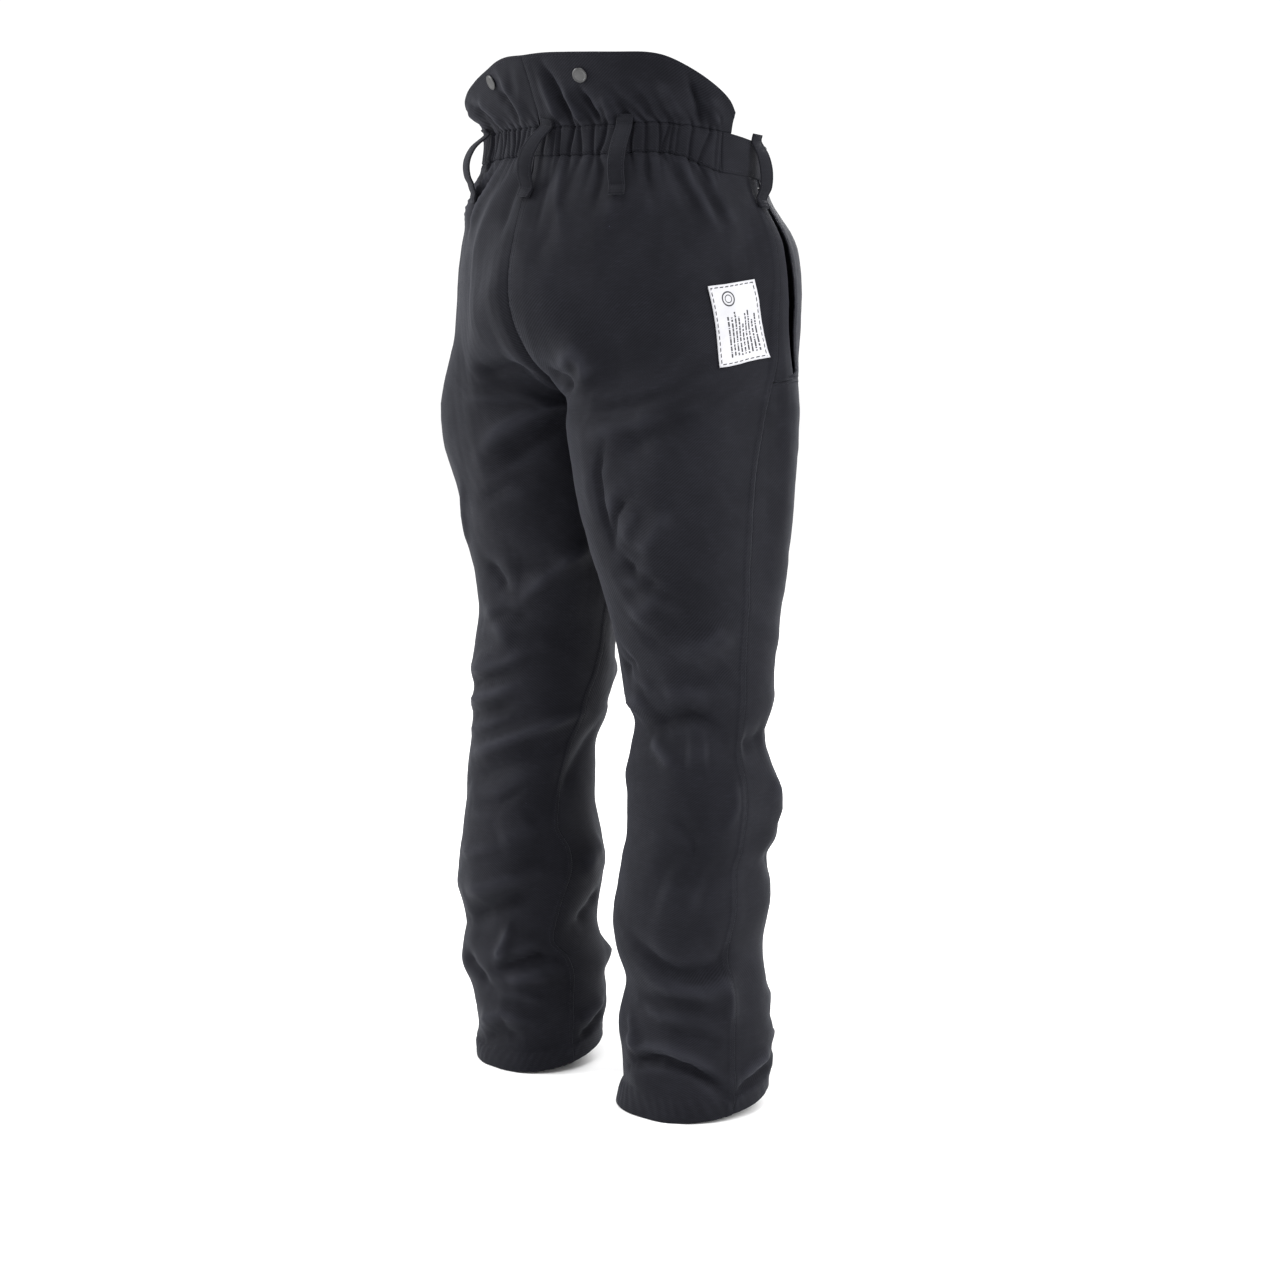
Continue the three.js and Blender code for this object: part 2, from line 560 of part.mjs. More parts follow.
function pull() {
  const y1 = 6.1;
  const shape = new THREE.Shape();
  shape.moveTo(-3.2, y1);
  shape.lineTo(-2.6, y1 - PULL_L);
  shape.lineTo(-1.6, y1 - PULL_L - 1);
  shape.lineTo(1.6, y1 - PULL_L - 1);
  shape.lineTo(2.6, y1 - PULL_L);
  shape.lineTo(3.2, y1);
  shape.closePath();
  const hole = new THREE.Path();
  hole.moveTo(-1.3, 4.9);
  hole.lineTo(1.3, 4.9);
  hole.lineTo(1.3, 0.8);
  hole.lineTo(-1.3, 0.8);
  hole.closePath();
  shape.holes.push(hole);
  const g = new THREE.ExtrudeGeometry(shape, { depth: 1, bevelEnabled: false });
  g.translate(0, sliderFoot, 2.95);
  g.applyMatrix4(toZip);
  return g;
}
add('zip_pull', pull(), 'snap');

// Guard flap behind the zip, sewn to the right front's inside.
add('fly_guard', zipBox(-18, 17, -6, ZIP_LENGTH + 2, -4.2, -2.7), 'shell');

// Outer flap over the zip, hinged along the J-stitch, with the waist tab above it.
function overFront(x0, x1, v0, v1, nx, nv, d0, d1, edge) {
  const f = (d) => (i, j) => {
    const v = v0 + ((v1 - v0) * j) / nv;
    const left = edge ? edge(v) : x0;
    const x = left + ((x1 - left) * i) / nx;
    const q = frontT(Math.abs(x), v);
    const p = at(q, v, d);
    p.x = Math.sign(x || 1) * Math.abs(p.x);
    return p;
  };
  return sheet(nx, nv, f(d0), f(d1));
}
const flapEdge = (v) => FLAP_EDGE_X + 26 * (1 - smooth(v, FLY_BOTTOM + 2, FLY_BOTTOM + 30)) ** 2;
add('fly_flap', overFront(
  FLAP_EDGE_X, FLAP_HINGE_X, FLY_BOTTOM + 2, BAND_LOW_FRONT - 2, 6, 9, -3.9, -2.1, flapEdge,
), 'shell');
add('waist_tab', overFront(
  -38, FLAP_HINGE_X, BAND_LOW_FRONT + 1, BAND_H - BAND_TOP_DROP - 1, 8, 3, -4.8, -2.8,
), 'shell');
const snapX = 25;
const snapV = (BAND_LOW_FRONT + BAND_H - BAND_TOP_DROP) / 2;
const snapT = frontT(snapX, snapV);
const snapOut = normal(snapT, snapV);
snapOut.x = -snapOut.x;
const snapAt = surface(snapT, snapV);
snapAt.x = -snapAt.x;
add('waist_snap_cap', turned(
  capProfile(CAP_R), 14, snapAt.clone().addScaledVector(snapOut, 5.0), snapOut,
), 'snap');
add('waist_snap_stud', turned(
  [[0, 0], [5, 0], [5, 0.5], [2.4, 0.7], [2.4, 1.5], [0, 1.5]], 12,
  snapAt.clone().addScaledVector(snapOut, 0.75), snapOut,
), 'snap');

// ---------------------------------------------------------------- labels
// Sewn label on the right seat, turned a little, and a small size tag inside the back.
function hipLabel() {
  const w = 54;
  const h = 80;
  const tilt = THREE.MathUtils.degToRad(9);
  const tc = 0.445;
  const vc = -137;
  const f = (d) => (i, j) => {
    const x = (i / 5 - 0.5) * w;
    const y = (j / 6 - 0.5) * h;
    const a = x * Math.cos(tilt) - y * Math.sin(tilt);
    const b = x * Math.sin(tilt) + y * Math.cos(tilt);
    return at(tc + a / 505, vc + b, d);
  };
  return sheet(5, 6, f(-1.7), f(-0.9), false, true);
}
add('hip_label', mirrored(hipLabel()), 'label');
add('size_tag', plainAcross((s, k) => 12 + 22 * k, 3, 0.035, 5.6, 6.2, 1), 'label');

export default trousers;
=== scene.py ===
"""Chainsaw protective trousers: cloth, seams, stitching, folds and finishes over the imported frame.

Work is in millimetres on the garment's own surface, S(t, v): t runs round one half of the garment,
0 centre back or inside leg, 0.25 back of the leg, 0.5 side, 0.75 front, 1 centre front or inside leg;
v is the height of a row at the side, with 0 at the waist seam. Meshes are made in metres.
"""

import math

import bpy
import numpy as np
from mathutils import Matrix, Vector


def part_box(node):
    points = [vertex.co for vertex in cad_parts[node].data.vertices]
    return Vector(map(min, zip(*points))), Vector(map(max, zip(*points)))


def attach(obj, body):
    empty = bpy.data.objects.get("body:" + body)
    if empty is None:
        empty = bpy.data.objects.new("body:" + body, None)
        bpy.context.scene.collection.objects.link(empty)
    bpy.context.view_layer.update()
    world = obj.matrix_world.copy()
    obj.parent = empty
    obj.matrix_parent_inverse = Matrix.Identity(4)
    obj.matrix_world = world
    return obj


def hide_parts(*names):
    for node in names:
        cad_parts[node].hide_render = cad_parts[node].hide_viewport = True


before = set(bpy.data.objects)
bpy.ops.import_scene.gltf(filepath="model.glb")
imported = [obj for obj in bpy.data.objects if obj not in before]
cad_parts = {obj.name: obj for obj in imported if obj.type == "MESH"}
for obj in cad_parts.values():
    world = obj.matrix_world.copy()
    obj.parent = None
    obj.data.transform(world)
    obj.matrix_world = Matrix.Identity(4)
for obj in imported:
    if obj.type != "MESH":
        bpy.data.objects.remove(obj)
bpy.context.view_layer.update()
MM = 0.001
SIDES = {"left": 1, "right": -1}

# ------------------------------------------------------------------ sizes of the garment, mm
HEM_Z = -938
CROTCH_Z = -218
RISE_BACK = 105             # height over which the legs join into the seat, behind and in front
RISE_FRONT = 70
LEG_X = 112                 # middle of the leg, sideways
BACK_GIRTH = 505            # half round the seat, for lengths given round a row
BAND_H = 45
BAND_DROP = 22              # the waistband sits lower in front
CASING_END = 0.44           # t where the elastic casing ends, and where the high back does
TOP_END = 0.475
HEM_TURN = 25
HEM_LIFT = 24               # the front of the hem rides up over the foot
CLOTH = 1.2                 # thickness of the outer cloth
POCKET_BOTTOM = -202
MOUTH_LIFT = 3.5            # how far the edge of the pocket mouth stands off
POUCH = 13                  # room inside the pocket
GUARD_TOP = -52
GUARD_BOTTOM = HEM_Z + 52
FLY_HALF = 9
FLY_BOTTOM = -160
FLAP_HINGE_X = 32
FLAP_EDGE_X = -8
CAP_R = 7.5

# Leg tube: height, centre x, centre y, half width, half depth.
LEG = np.array([
    [-938, 112, 6, 69, 73], [-838, 112, 9, 68, 72], [-718, 112, 16, 71, 78], [-598, 112, 6, 68, 72],
    [-538, 112, 3, 66, 70], [-460, 111, 6, 74, 80], [-398, 108, 9, 84, 91], [-318, 104, 12, 93, 103],
    [-248, 101.5, 13, 99, 112], [-213, 100.3, 13, 99.8, 116]], float)
# Seat and waist: height, half width, depth behind, depth in front.
TORSO = np.array([
    [-218, 180, 150, 124], [-163, 182, 153, 125], [-113, 183, 156, 124], [-86, 181, 154, 123],
    [-56, 176, 146, 121.5], [-27, 168, 136, 120], [0, 159, 124, 118.5], [45, 157, 112, 116],
    [77, 162, 121, 116], [105, 166, 133, 116], [127, 168, 140, 116]], float)
# Side seam: height and t.
OUTSEAM = np.array([
    [-938, 0.461], [-838, 0.463], [-538, 0.486], [-298, 0.497], [-218, 0.522], [-170, 0.545], [0, 0.55]])
# The inside seam of the left leg wanders as the cloth twists; the right one runs straight.
INSEAM = {
    "left": np.array([
        [-938, 0.03], [-893, 0.037], [-809, 0.029], [-788, 0.06], [-767, 0.052], [-710, 0.021], [-689, 0.021],
        [-665, 0.046], [-602, 0.021], [-548, 0.012], [-458, -0.02], [-330, -0.012], [-230, 0]]),
    "right": np.array([[-938, 0.0], [-760, -0.012], [-600, 0.012], [-400, 0.0], [-230, 0.0]]),
}


# ------------------------------------------------------------------ small maths on arrays
def grids(*values):
    """The values as float arrays of one shape."""
    return np.broadcast_arrays(*(np.asarray(value, float) for value in values))


def smooth(x, a, b):
    """0 up to a, 1 from b on, and a smooth step between."""
    u = np.clip((np.asarray(x, float) - a) / (b - a), 0, 1)
    return u * u * (3 - 2 * u)


def bump(x, a, b):
    """A smooth hump between a and b, and 0 elsewhere."""
    x = np.asarray(x, float)
    return np.where((x <= a) | (x >= b), 0.0, np.sin(np.pi * (x - a) / (b - a)) ** 2)


def ridge(x, width):
    """A bell of height 1 about 0."""
    return np.exp(-(x / width) ** 2)


def power(c, p):
    return np.sign(c) * np.abs(c) ** p


def from_middle(t):
    """How far t is from the nearer middle seam."""
    return np.minimum(t, 1 - t)


def between(field, x, y):
    """Values of a grid at columns x and rows y, also between its points."""
    i, j = np.minimum(x.astype(int), field.shape[1] - 2), np.minimum(y.astype(int), field.shape[0] - 2)
    a, b = x - i, y - j
    if field.ndim > 2:
        a, b = a[..., None], b[..., None]
    return ((field[j, i] * (1 - a) + field[j, i + 1] * a) * (1 - b)
            + (field[j + 1, i] * (1 - a) + field[j + 1, i + 1] * a) * b)


def along(table, z, k):
    """Smooth curve through a table's rows."""
    z = np.asarray(z, float)
    zs, ys = table[:, 0], table[:, k]
    slope = np.empty(len(zs))
    slope[1:-1] = (ys[2:] - ys[:-2]) / (zs[2:] - zs[:-2])
    slope[0] = (ys[1] - ys[0]) / (zs[1] - zs[0])
    slope[-1] = (ys[-1] - ys[-2]) / (zs[-1] - zs[-2])
    i = np.clip(np.searchsorted(zs, z) - 1, 0, len(zs) - 2)
    h = zs[i + 1] - zs[i]
    u = np.clip((z - zs[i]) / h, 0, 1)
    u2, u3 = u * u, u * u * u
    return ((2 * u3 - 3 * u2 + 1) * ys[i] + (u3 - 2 * u2 + u) * h * slope[i]
            + (3 * u2 - 2 * u3) * ys[i + 1] + (u3 - u2) * h * slope[i + 1])


class Noise:
    """Smooth repeatable noise between -1 and 1 on a plane."""

    def __init__(self, seed, n=64):
        self.n = n
        self.grid = np.random.RandomState(seed).uniform(-1, 1, (n, n))

    def __call__(self, x, y):
        x, y = grids(x, y)
        i, j = np.floor(x).astype(int), np.floor(y).astype(int)
        a, b = x - i, y - j
        a, b = a * a * (3 - 2 * a), b * b * (3 - 2 * b)
        g, n = self.grid, self.n
        p, q = g[i % n, j % n], g[(i + 1) % n, j % n]
        r, s = g[i % n, (j + 1) % n], g[(i + 1) % n, (j + 1) % n]
        return (p * (1 - a) + q * a) * (1 - b) + (r * (1 - a) + s * a) * b


# ------------------------------------------------------------------ the smooth surface of the left half
def outseam(v):
    return along(OUTSEAM, v, 1)


def creased_surface(t, v):
    """The leg tube below and the seat above, blended over the rise."""
    t, v = grids(t, v)
    zl = np.minimum(v, LEG[-1, 0])
    zt = np.maximum(v, TORSO[0, 0])
    cx, cy, a, b = (along(LEG, zl, k) for k in (1, 2, 3, 4))
    half, back, front = (along(TORSO, zt, k) for k in (1, 2, 3))
    a1 = np.pi - 2 * np.pi * t
    lx = cx + a * power(np.cos(a1), 0.93)
    ly = cy + b * power(np.sin(a1), 0.93)
    a2 = np.pi / 2 - np.pi * t
    p = 1.04 - 0.16 * smooth(t, 0.35, 0.65)
    s = np.sin(a2)
    bx = half * np.sign(np.cos(a2)) * np.abs(np.cos(a2)) ** p
    by = np.where(s > 0, back, front) * np.sign(s) * np.abs(s) ** p
    rise = RISE_BACK + (RISE_FRONT - RISE_BACK) * smooth(t, 0.3, 0.7)
    al = np.clip((v - CROTCH_Z) / rise, 0, 1) * np.pi / 2
    middle = smooth((v - (CROTCH_Z - 60)) / (rise + 60), 0, 1)
    edge = np.abs(np.cos(np.pi * t))
    w = middle + (np.sin(al) - middle) * edge ** 4
    end = np.where((v > CROTCH_Z) & (v < CROTCH_Z + rise), CROTCH_Z + rise * (1 - np.cos(al)), v)
    z = v + (end - v) * edge ** 3 - BAND_DROP * smooth(t, 0.25, 1) * smooth(v, -118, 0)
    return np.stack([(1 - w) * lx + w * bx, (1 - w) * ly + w * by, z], -1)


def surface(t, v):
    """The left half without folds; the crease where the thigh meets the seat is rounded off."""
    t, v = grids(t, v)
    p = creased_surface(t, v)
    share = (1 - smooth(np.abs(v - CROTCH_Z - 4), 8, 34)) * smooth(from_middle(t), 0, 0.05)
    near = share > 0
    if np.any(near):
        tn, vn = t[near], v[near]
        around = sum(creased_surface(tn, vn + d) for d in (-18, -12, -6, 6, 12, 18)) / 6
        p[near] += share[near][..., None] * (around - p[near])
    return p


def normal(t, v):
    t, v = grids(t, v)
    e = 0.004
    leg = v < CROTCH_Z
    lo = np.where(leg, t - e, np.maximum(0, t - e))
    hi = np.where(leg, t + e, np.minimum(1, t + e))
    dt = surface(hi, v) - surface(lo, v)
    dv = surface(t, v + 3) - surface(t, v - 3)
    n = np.cross(dv, dt)
    return n / np.maximum(np.linalg.norm(n, axis=-1, keepdims=True), 1e-9)


# Distance round a row from t = 0, for folds that keep their width in millimetres.
ARC_T = np.linspace(0, 1, 121)
ARC_STEP = 8.0
ARC_V = np.arange(HEM_Z - 4, 132, ARC_STEP)
ARC = np.pad(np.cumsum(np.linalg.norm(
    np.diff(surface(ARC_T[None, :], ARC_V[:, None])[..., :2], axis=1), axis=-1), axis=1), ((0, 0), (1, 0)))


def arc(t, v):
    """(distance round from t = 0, whole distance round) at height v."""
    t, v = grids(t, v)
    turns = np.floor(t)
    last = len(ARC_T) - 1.0
    y = np.clip((v - ARC_V[0]) / ARC_STEP, 0, len(ARC_V) - 1.001)
    whole = between(ARC, np.full(y.shape, last), y)
    return between(ARC, (t - turns) * last, y) + turns * whole, whole


# ------------------------------------------------------------------ how the legs hang
# Height, sideways shift and half width of each leg as the wearer stands, across the direction SIDEWAYS.
SIDEWAYS = np.array([-0.731, -0.682, 0.0])
HANG = {
    "right": np.array([
        [-940, -7, 75], [-900, -2, 73], [-845, -4, 73], [-800, -5, 69], [-760, -12, 71], [-720, -8, 75],
        [-675, -6, 69], [-655, 0, 70], [-615, 2, 70], [-590, 0, 69], [-565, -2, 62], [-540, 0, 62],
        [-515, -2, 68], [-460, -5, 76], [-405, -9, 86], [-325, -16, 100], [-240, -19, 107]], float),
    "left": np.array([
        [-935, -5, 67], [-890, -5, 68], [-850, -7, 70], [-825, -12, 75], [-800, -16, 70], [-780, -17, 67],
        [-735, -18, 75], [-715, -17, 77], [-690, -18, 73], [-650, -19, 68], [-605, -18, 67], [-580, -14, 67],
        [-560, -9, 71], [-540, -6, 75], [-520, -3, 77], [-450, 4, 75], [-405, 7, 80], [-360, 5, 86],
        [-315, 3, 91], [-275, 0, 98], [-230, 0, 105]], float),
}


def hang(side, p, t, v):
    """Shift and scale the leg across SIDEWAYS so that its outline is the worn one; the middle seams stay."""
    s = SIDES[side]
    table = HANG[side]
    cx, cy, a, b = (along(LEG, v, k) for k in (1, 2, 3, 4))
    top = table[-1, 0]
    level = np.clip(v, table[0, 0], top)
    around, whole = arc(t, v)
    by_seam = 1 - smooth(np.minimum(around, whole - around), 0, 45)
    share = (1 - smooth(v, top - 10, top + 60)) * (1 - by_seam * smooth(v, CROTCH_Z - 50, CROTCH_Z))
    plain = SIDEWAYS[0] * s * (cx - LEG_X) + SIDEWAYS[1] * cy
    shift = np.clip((along(table, level, 1) - plain) * share, -20, 20)
    half = np.sqrt((SIDEWAYS[0] * a) ** 2 + (SIDEWAYS[1] * b) ** 2)
    ratio = 1 + (np.clip(along(table, level, 2) / half, 0.88, 1.08) - 1) * share
    side_dir = SIDEWAYS * np.array([s, 1, 1])
    centre = np.stack([cx, cy, np.zeros_like(cx)], -1)
    off = ((p - centre) * side_dir).sum(-1)
    return p + side_dir * (off * (ratio - 1) + shift)[..., None]


# ------------------------------------------------------------------ folds
# Each fold is height (mm, + stands out, - sinks in), half width (mm), and the (t, v) points it runs through.
FOLDS = {
    "left": [
        (-8, 15, [(0.2, -185), (0.075, -170), (0, -176)]),
        (-4, 12, [(0.233, -203), (0.175, -200), (0.125, -194), (0.004, -180)]),
        (6, 13, [(0.06, -212), (0.092, -218), (0.129, -230), (0.179, -248), (0.225, -272)]),
        (-6, 13, [(0.05, -232), (0.083, -239), (0.138, -258), (0.2, -284)]),
        (5, 12, [(0.021, -368), (0.058, -374), (0.087, -380), (0.133, -398), (0.2, -428)]),
        (-4.5, 15, [(0.22, -396), (0.196, -392), (0.133, -388), (0.096, -376)]),
        (-4, 10, [(0.27, -388), (0.25, -395), (0.221, -419)]),
        (4, 12, [(0.29, -430), (0.24, -455), (0.2, -480)]),
        (4, 10, [(0.358, -512), (0.221, -491), (0.142, -473)]),
        (-3.5, 8, [(0.36, -529), (0.24, -508), (0.16, -494)]),
        (4, 7, [(0.362, -545), (0.246, -527), (0.175, -515)]),
        (-3.5, 8, [(0.367, -560), (0.246, -545), (0.17, -533)]),
        (5.5, 8, [(0.317, -599), (0.225, -581), (0.146, -566), (0.071, -554), (0.017, -548)]),
        (-4, 13, [(0.32, -625), (0.22, -606), (0.12, -590), (0.045, -582)]),
        (3, 16, [(0.1, -660), (0.2, -680)]),
        (4.5, 11, [(0.3, -742), (0.2, -724), (0.11, -710)]),
        (-6, 13, [(0.31, -772), (0.22, -752), (0.14, -738), (0.08, -728)]),
        (4.5, 6, [(0.172, -766), (0.19, -786), (0.212, -810)]),
        (-5.5, 6, [(0.222, -820), (0.163, -812), (0.1, -803), (0.06, -806)]),
        (3, 9, [(0.2, -832), (0.14, -826), (0.08, -824)]),
        (-5, 11, [(0.33, -812), (0.27, -828), (0.246, -840)]),
        (5, 9, [(0.308, -890), (0.265, -876), (0.221, -866), (0.146, -875)]),
        (-3, 9, [(0.3, -905), (0.22, -888), (0.16, -894)]),
        (-4, 8, [(0.929, -887), (0.975, -898), (1.021, -908)]),
        (4, 10, [(0.93, -868), (0.98, -880), (1.02, -886)]),
        (-4, 14, [(0.93, -560), (0.985, -600), (1.04, -640)]),
        (4, 14, [(0.9, -690), (0.96, -700), (1.0, -720)]),
        (-2.5, 7, [(0.12, -292), (0.18, -300), (0.25, -322)]),
        (2.2, 8, [(0.3, -300), (0.33, -340), (0.34, -380)]),
        (-2.5, 6, [(0.3, -452), (0.22, -440), (0.15, -446)]),
        (2.4, 6, [(0.33, -500), (0.25, -482), (0.19, -476)]),
        (2.6, 5, [(0.36, -575), (0.28, -566), (0.2, -552)]),
        (-2.6, 6, [(0.12, -622), (0.2, -640), (0.29, -648)]),
        (2.6, 6, [(0.33, -700), (0.26, -694), (0.19, -684)]),
        (2.4, 5, [(0.24, -850), (0.17, -846), (0.11, -852)]),
        (-4, 12, [(0.9, -745), (0.95, -760), (1.0, -775)]),
    ],
    "right": [
        (6.5, 10, [(0.1, -162), (0.142, -152), (0.163, -158), (0.179, -186)]),
        (-6, 9, [(0.05, -164), (0.09, -172), (0.12, -178), (0.14, -200)]),
        (-5, 21, [(0.142, -230), (0.258, -218), (0.308, -212), (0.35, -212)]),
        (3, 13, [(0.2, -246), (0.26, -240), (0.32, -230), (0.37, -222)]),
        (-5.5, 18, [(0.271, -266), (0.308, -248), (0.333, -238), (0.371, -229), (0.404, -224)]),
        (-3.5, 4, [(0.25, -250), (0.236, -281), (0.24, -311), (0.246, -352)]),
        (1.6, 10, [(0.218, -270), (0.214, -300), (0.222, -335)]),
        (-3.5, 4, [(0.246, -352), (0.258, -322), (0.272, -310), (0.292, -303)]),
        (2.2, 7, [(0.264, -350), (0.28, -330), (0.302, -316)]),
        (1.6, 6, [(0.25, -322), (0.258, -302), (0.272, -292)]),
        (-3, 9, [(0.262, -362), (0.275, -385)]),
        (4.5, 11, [(0.292, -369), (0.308, -350), (0.329, -332), (0.362, -308)]),
        (-4, 13, [(0.237, -406), (0.292, -393), (0.32, -376)]),
        (4.5, 13, [(0.242, -427), (0.283, -411), (0.321, -392)]),
        (-3.5, 16, [(0.26, -455), (0.31, -440), (0.36, -415)]),
        (4.5, 13, [(0.32, -464), (0.35, -462), (0.379, -458), (0.412, -452), (0.462, -435)]),
        (-3, 14, [(0.34, -488), (0.4, -482), (0.45, -470)]),
        (-5, 12, [(0.17, -484), (0.2, -476), (0.23, -468)]),
        (5, 12, [(0.163, -520), (0.2, -512), (0.25, -505)]),
        (-6, 10, [(0.235, -538), (0.279, -527), (0.35, -519), (0.388, -524), (0.43, -540)]),
        (3, 11, [(0.28, -500), (0.35, -494), (0.41, -502)]),
        (4, 7, [(0.232, -544), (0.26, -556), (0.31, -574)]),
        (3, 18, [(0.33, -560), (0.4, -556)]),
        (-5, 13, [(0.48, -553), (0.529, -551), (0.58, -548)]),
        (5, 14, [(0.57, -590), (0.6, -614), (0.63, -640)]),
        (-3.5, 12, [(0.56, -655), (0.6, -672), (0.64, -690)]),
        (4, 30, [(0.29, -690), (0.4, -700)]),
        (-6, 11, [(0.235, -742), (0.254, -752), (0.308, -769), (0.354, -777), (0.404, -777),
          (0.438, -770), (0.462, -752)]),
        (3.5, 12, [(0.25, -778), (0.31, -794), (0.4, -797), (0.46, -780)]),
        (-4.5, 11, [(0.2, -826), (0.25, -812), (0.32, -805), (0.388, -809), (0.43, -820)]),
        (4, 10, [(0.44, -770), (0.452, -800), (0.445, -835)]),
        (3, 10, [(0.2, -848), (0.23, -862)]),
        (4.5, 9, [(0.2, -868), (0.26, -858), (0.31, -857), (0.37, -866), (0.42, -884)]),
        (-7, 6, [(0.2, -884), (0.225, -876), (0.258, -871), (0.292, -869), (0.358, -876),
          (0.408, -891), (0.437, -908)]),
        (-4.5, 6, [(0.455, -912), (0.49, -904), (0.53, -900), (0.585, -898)]),
        (2.4, 5, [(0.34, -452), (0.39, -446), (0.44, -430)]),
        (-2.2, 7, [(0.22, -388), (0.27, -372), (0.33, -346)]),
        (2.2, 6, [(0.27, -498), (0.23, -486), (0.19, -470)]),
        (2.2, 7, [(0.42, -640), (0.45, -612), (0.455, -580)]),
        (-2.2, 7, [(0.3, -620), (0.35, -640), (0.36, -668)]),
        (2.4, 6, [(0.22, -812), (0.29, -824), (0.36, -822)]),
        (2.4, 5, [(0.19, -828), (0.215, -846), (0.225, -866)]),
        (-2.4, 6, [(0.3, -838), (0.38, -842), (0.44, -852)]),
        (4, 8, [(0.47, -894), (0.52, -886), (0.58, -884)]),
    ],
}
# Folds at the front, which lie alike on both legs.
FRONT_FOLDS = [
    (-4.5, 12, [(0.58, -548), (0.68, -538), (0.78, -536), (0.9, -546)]),
    (4.5, 13, [(0.6, -522), (0.7, -512), (0.82, -512), (0.9, -522)]),
    (3.5, 12, [(0.62, -572), (0.74, -564), (0.86, -572)]),
    (-3, 14, [(0.64, -600), (0.74, -592), (0.84, -600)]),
    (-5, 11, [(0.6, -842), (0.68, -851), (0.8, -850), (0.9, -838)]),
    (4.5, 11, [(0.6, -818), (0.7, -826), (0.82, -824), (0.9, -812)]),
    (-4, 11, [(0.62, -792), (0.72, -800), (0.84, -796)]),
    (4, 10, [(0.62, -872), (0.72, -878), (0.84, -872)]),
    (-3.5, 8, [(0.64, -894), (0.74, -898), (0.84, -892)]),
    (-4, 14, [(0.96, -232), (0.88, -226), (0.78, -208)]),
    (3.5, 15, [(0.95, -258), (0.86, -252), (0.76, -232)]),
    (-3.5, 16, [(0.95, -290), (0.86, -285), (0.78, -270)]),
    (3, 22, [(0.7, -330), (0.76, -420)]),
]
# Gathers where the seat hangs from the elastic waist: long ones that run down and outwards.
HIP_FOLDS = {
    "left": [
        (4, 6, [(0.15, 14), (0.21, -12), (0.28, -44)]), (-3.5, 5, [(0.175, 14), (0.24, -12), (0.3, -42)]),
        (4, 6, [(0.2, 14), (0.27, -14), (0.33, -48)]), (-3.5, 5, [(0.23, 14), (0.29, -12), (0.35, -44)]),
        (4, 6, [(0.26, 14), (0.32, -14), (0.37, -46)]), (-3, 5, [(0.29, 14), (0.35, -12), (0.4, -42)]),
        (3, 7, [(0.1, 14), (0.15, -18), (0.2, -55)]), (-2.6, 6, [(0.125, 14), (0.18, -16), (0.235, -52)]),
        (-2.5, 7, [(0.03, 14), (0.035, -20), (0.04, -60)]), (2.2, 12, [(0.06, 10), (0.1, -40), (0.14, -90)]),
    ],
    "right": [
        (-3.5, 6, [(0.36, 12), (0.39, -12), (0.43, -44)]), (3, 7, [(0.335, 12), (0.37, -14), (0.41, -50)]),
        (-3, 6, [(0.31, 12), (0.34, -10), (0.37, -36)]), (2.6, 8, [(0.39, 10), (0.42, -14), (0.46, -50)]),
        (-2.4, 6, [(0.25, 14), (0.265, -6), (0.28, -26)]), (2.2, 9, [(0.2, 10), (0.2, -24), (0.19, -50)]),
        (-2.5, 6, [(0.16, 12), (0.17, -8), (0.165, -30)]), (-2.5, 7, [(0.045, 12), (0.05, -26), (0.05, -58)]),
        (2.5, 7, [(0.075, 12), (0.085, -26), (0.1, -55)]), (-2, 16, [(0.12, 0), (0.08, -50), (0.05, -100)]),
    ],
}
# Broad folds in the high back, above the elastic waist.
BACK_FOLDS = {
    "left": [
        (3.5, 7, [(0.035, 48), (0.06, 72), (0.085, 98)]), (-3.5, 7, [(0.06, 48), (0.09, 70), (0.12, 84)]),
        (3.5, 7, [(0.12, 48), (0.16, 66), (0.2, 80)]), (-3.5, 7, [(0.145, 48), (0.19, 64), (0.23, 76)]),
        (4, 8, [(0.18, 48), (0.23, 62), (0.29, 76)]), (-3.5, 6, [(0.22, 48), (0.27, 58), (0.33, 68)]),
    ],
    "right": [
        (-5, 6, [(0.085, 46), (0.07, 70), (0.045, 104)]), (4, 7, [(0.055, 48), (0.045, 70), (0.03, 96)]),
        (4, 6, [(0.108, 48), (0.095, 64), (0.08, 84)]), (-5, 4, [(0.155, 47), (0.135, 60), (0.118, 78)]),
        (-3.5, 5, [(0.21, 47), (0.2, 58), (0.19, 68)]), (3, 9, [(0.18, 48), (0.17, 60), (0.155, 74)]),
        (-3, 7, [(0.265, 47), (0.25, 60), (0.23, 76)]), (3.5, 10, [(0.32, 48), (0.31, 66), (0.28, 88)]),
        (-5.5, 5, [(0.378, 46), (0.37, 66), (0.345, 92)]), (3.5, 9, [(0.42, 48), (0.41, 60), (0.39, 78)]),
    ],
}


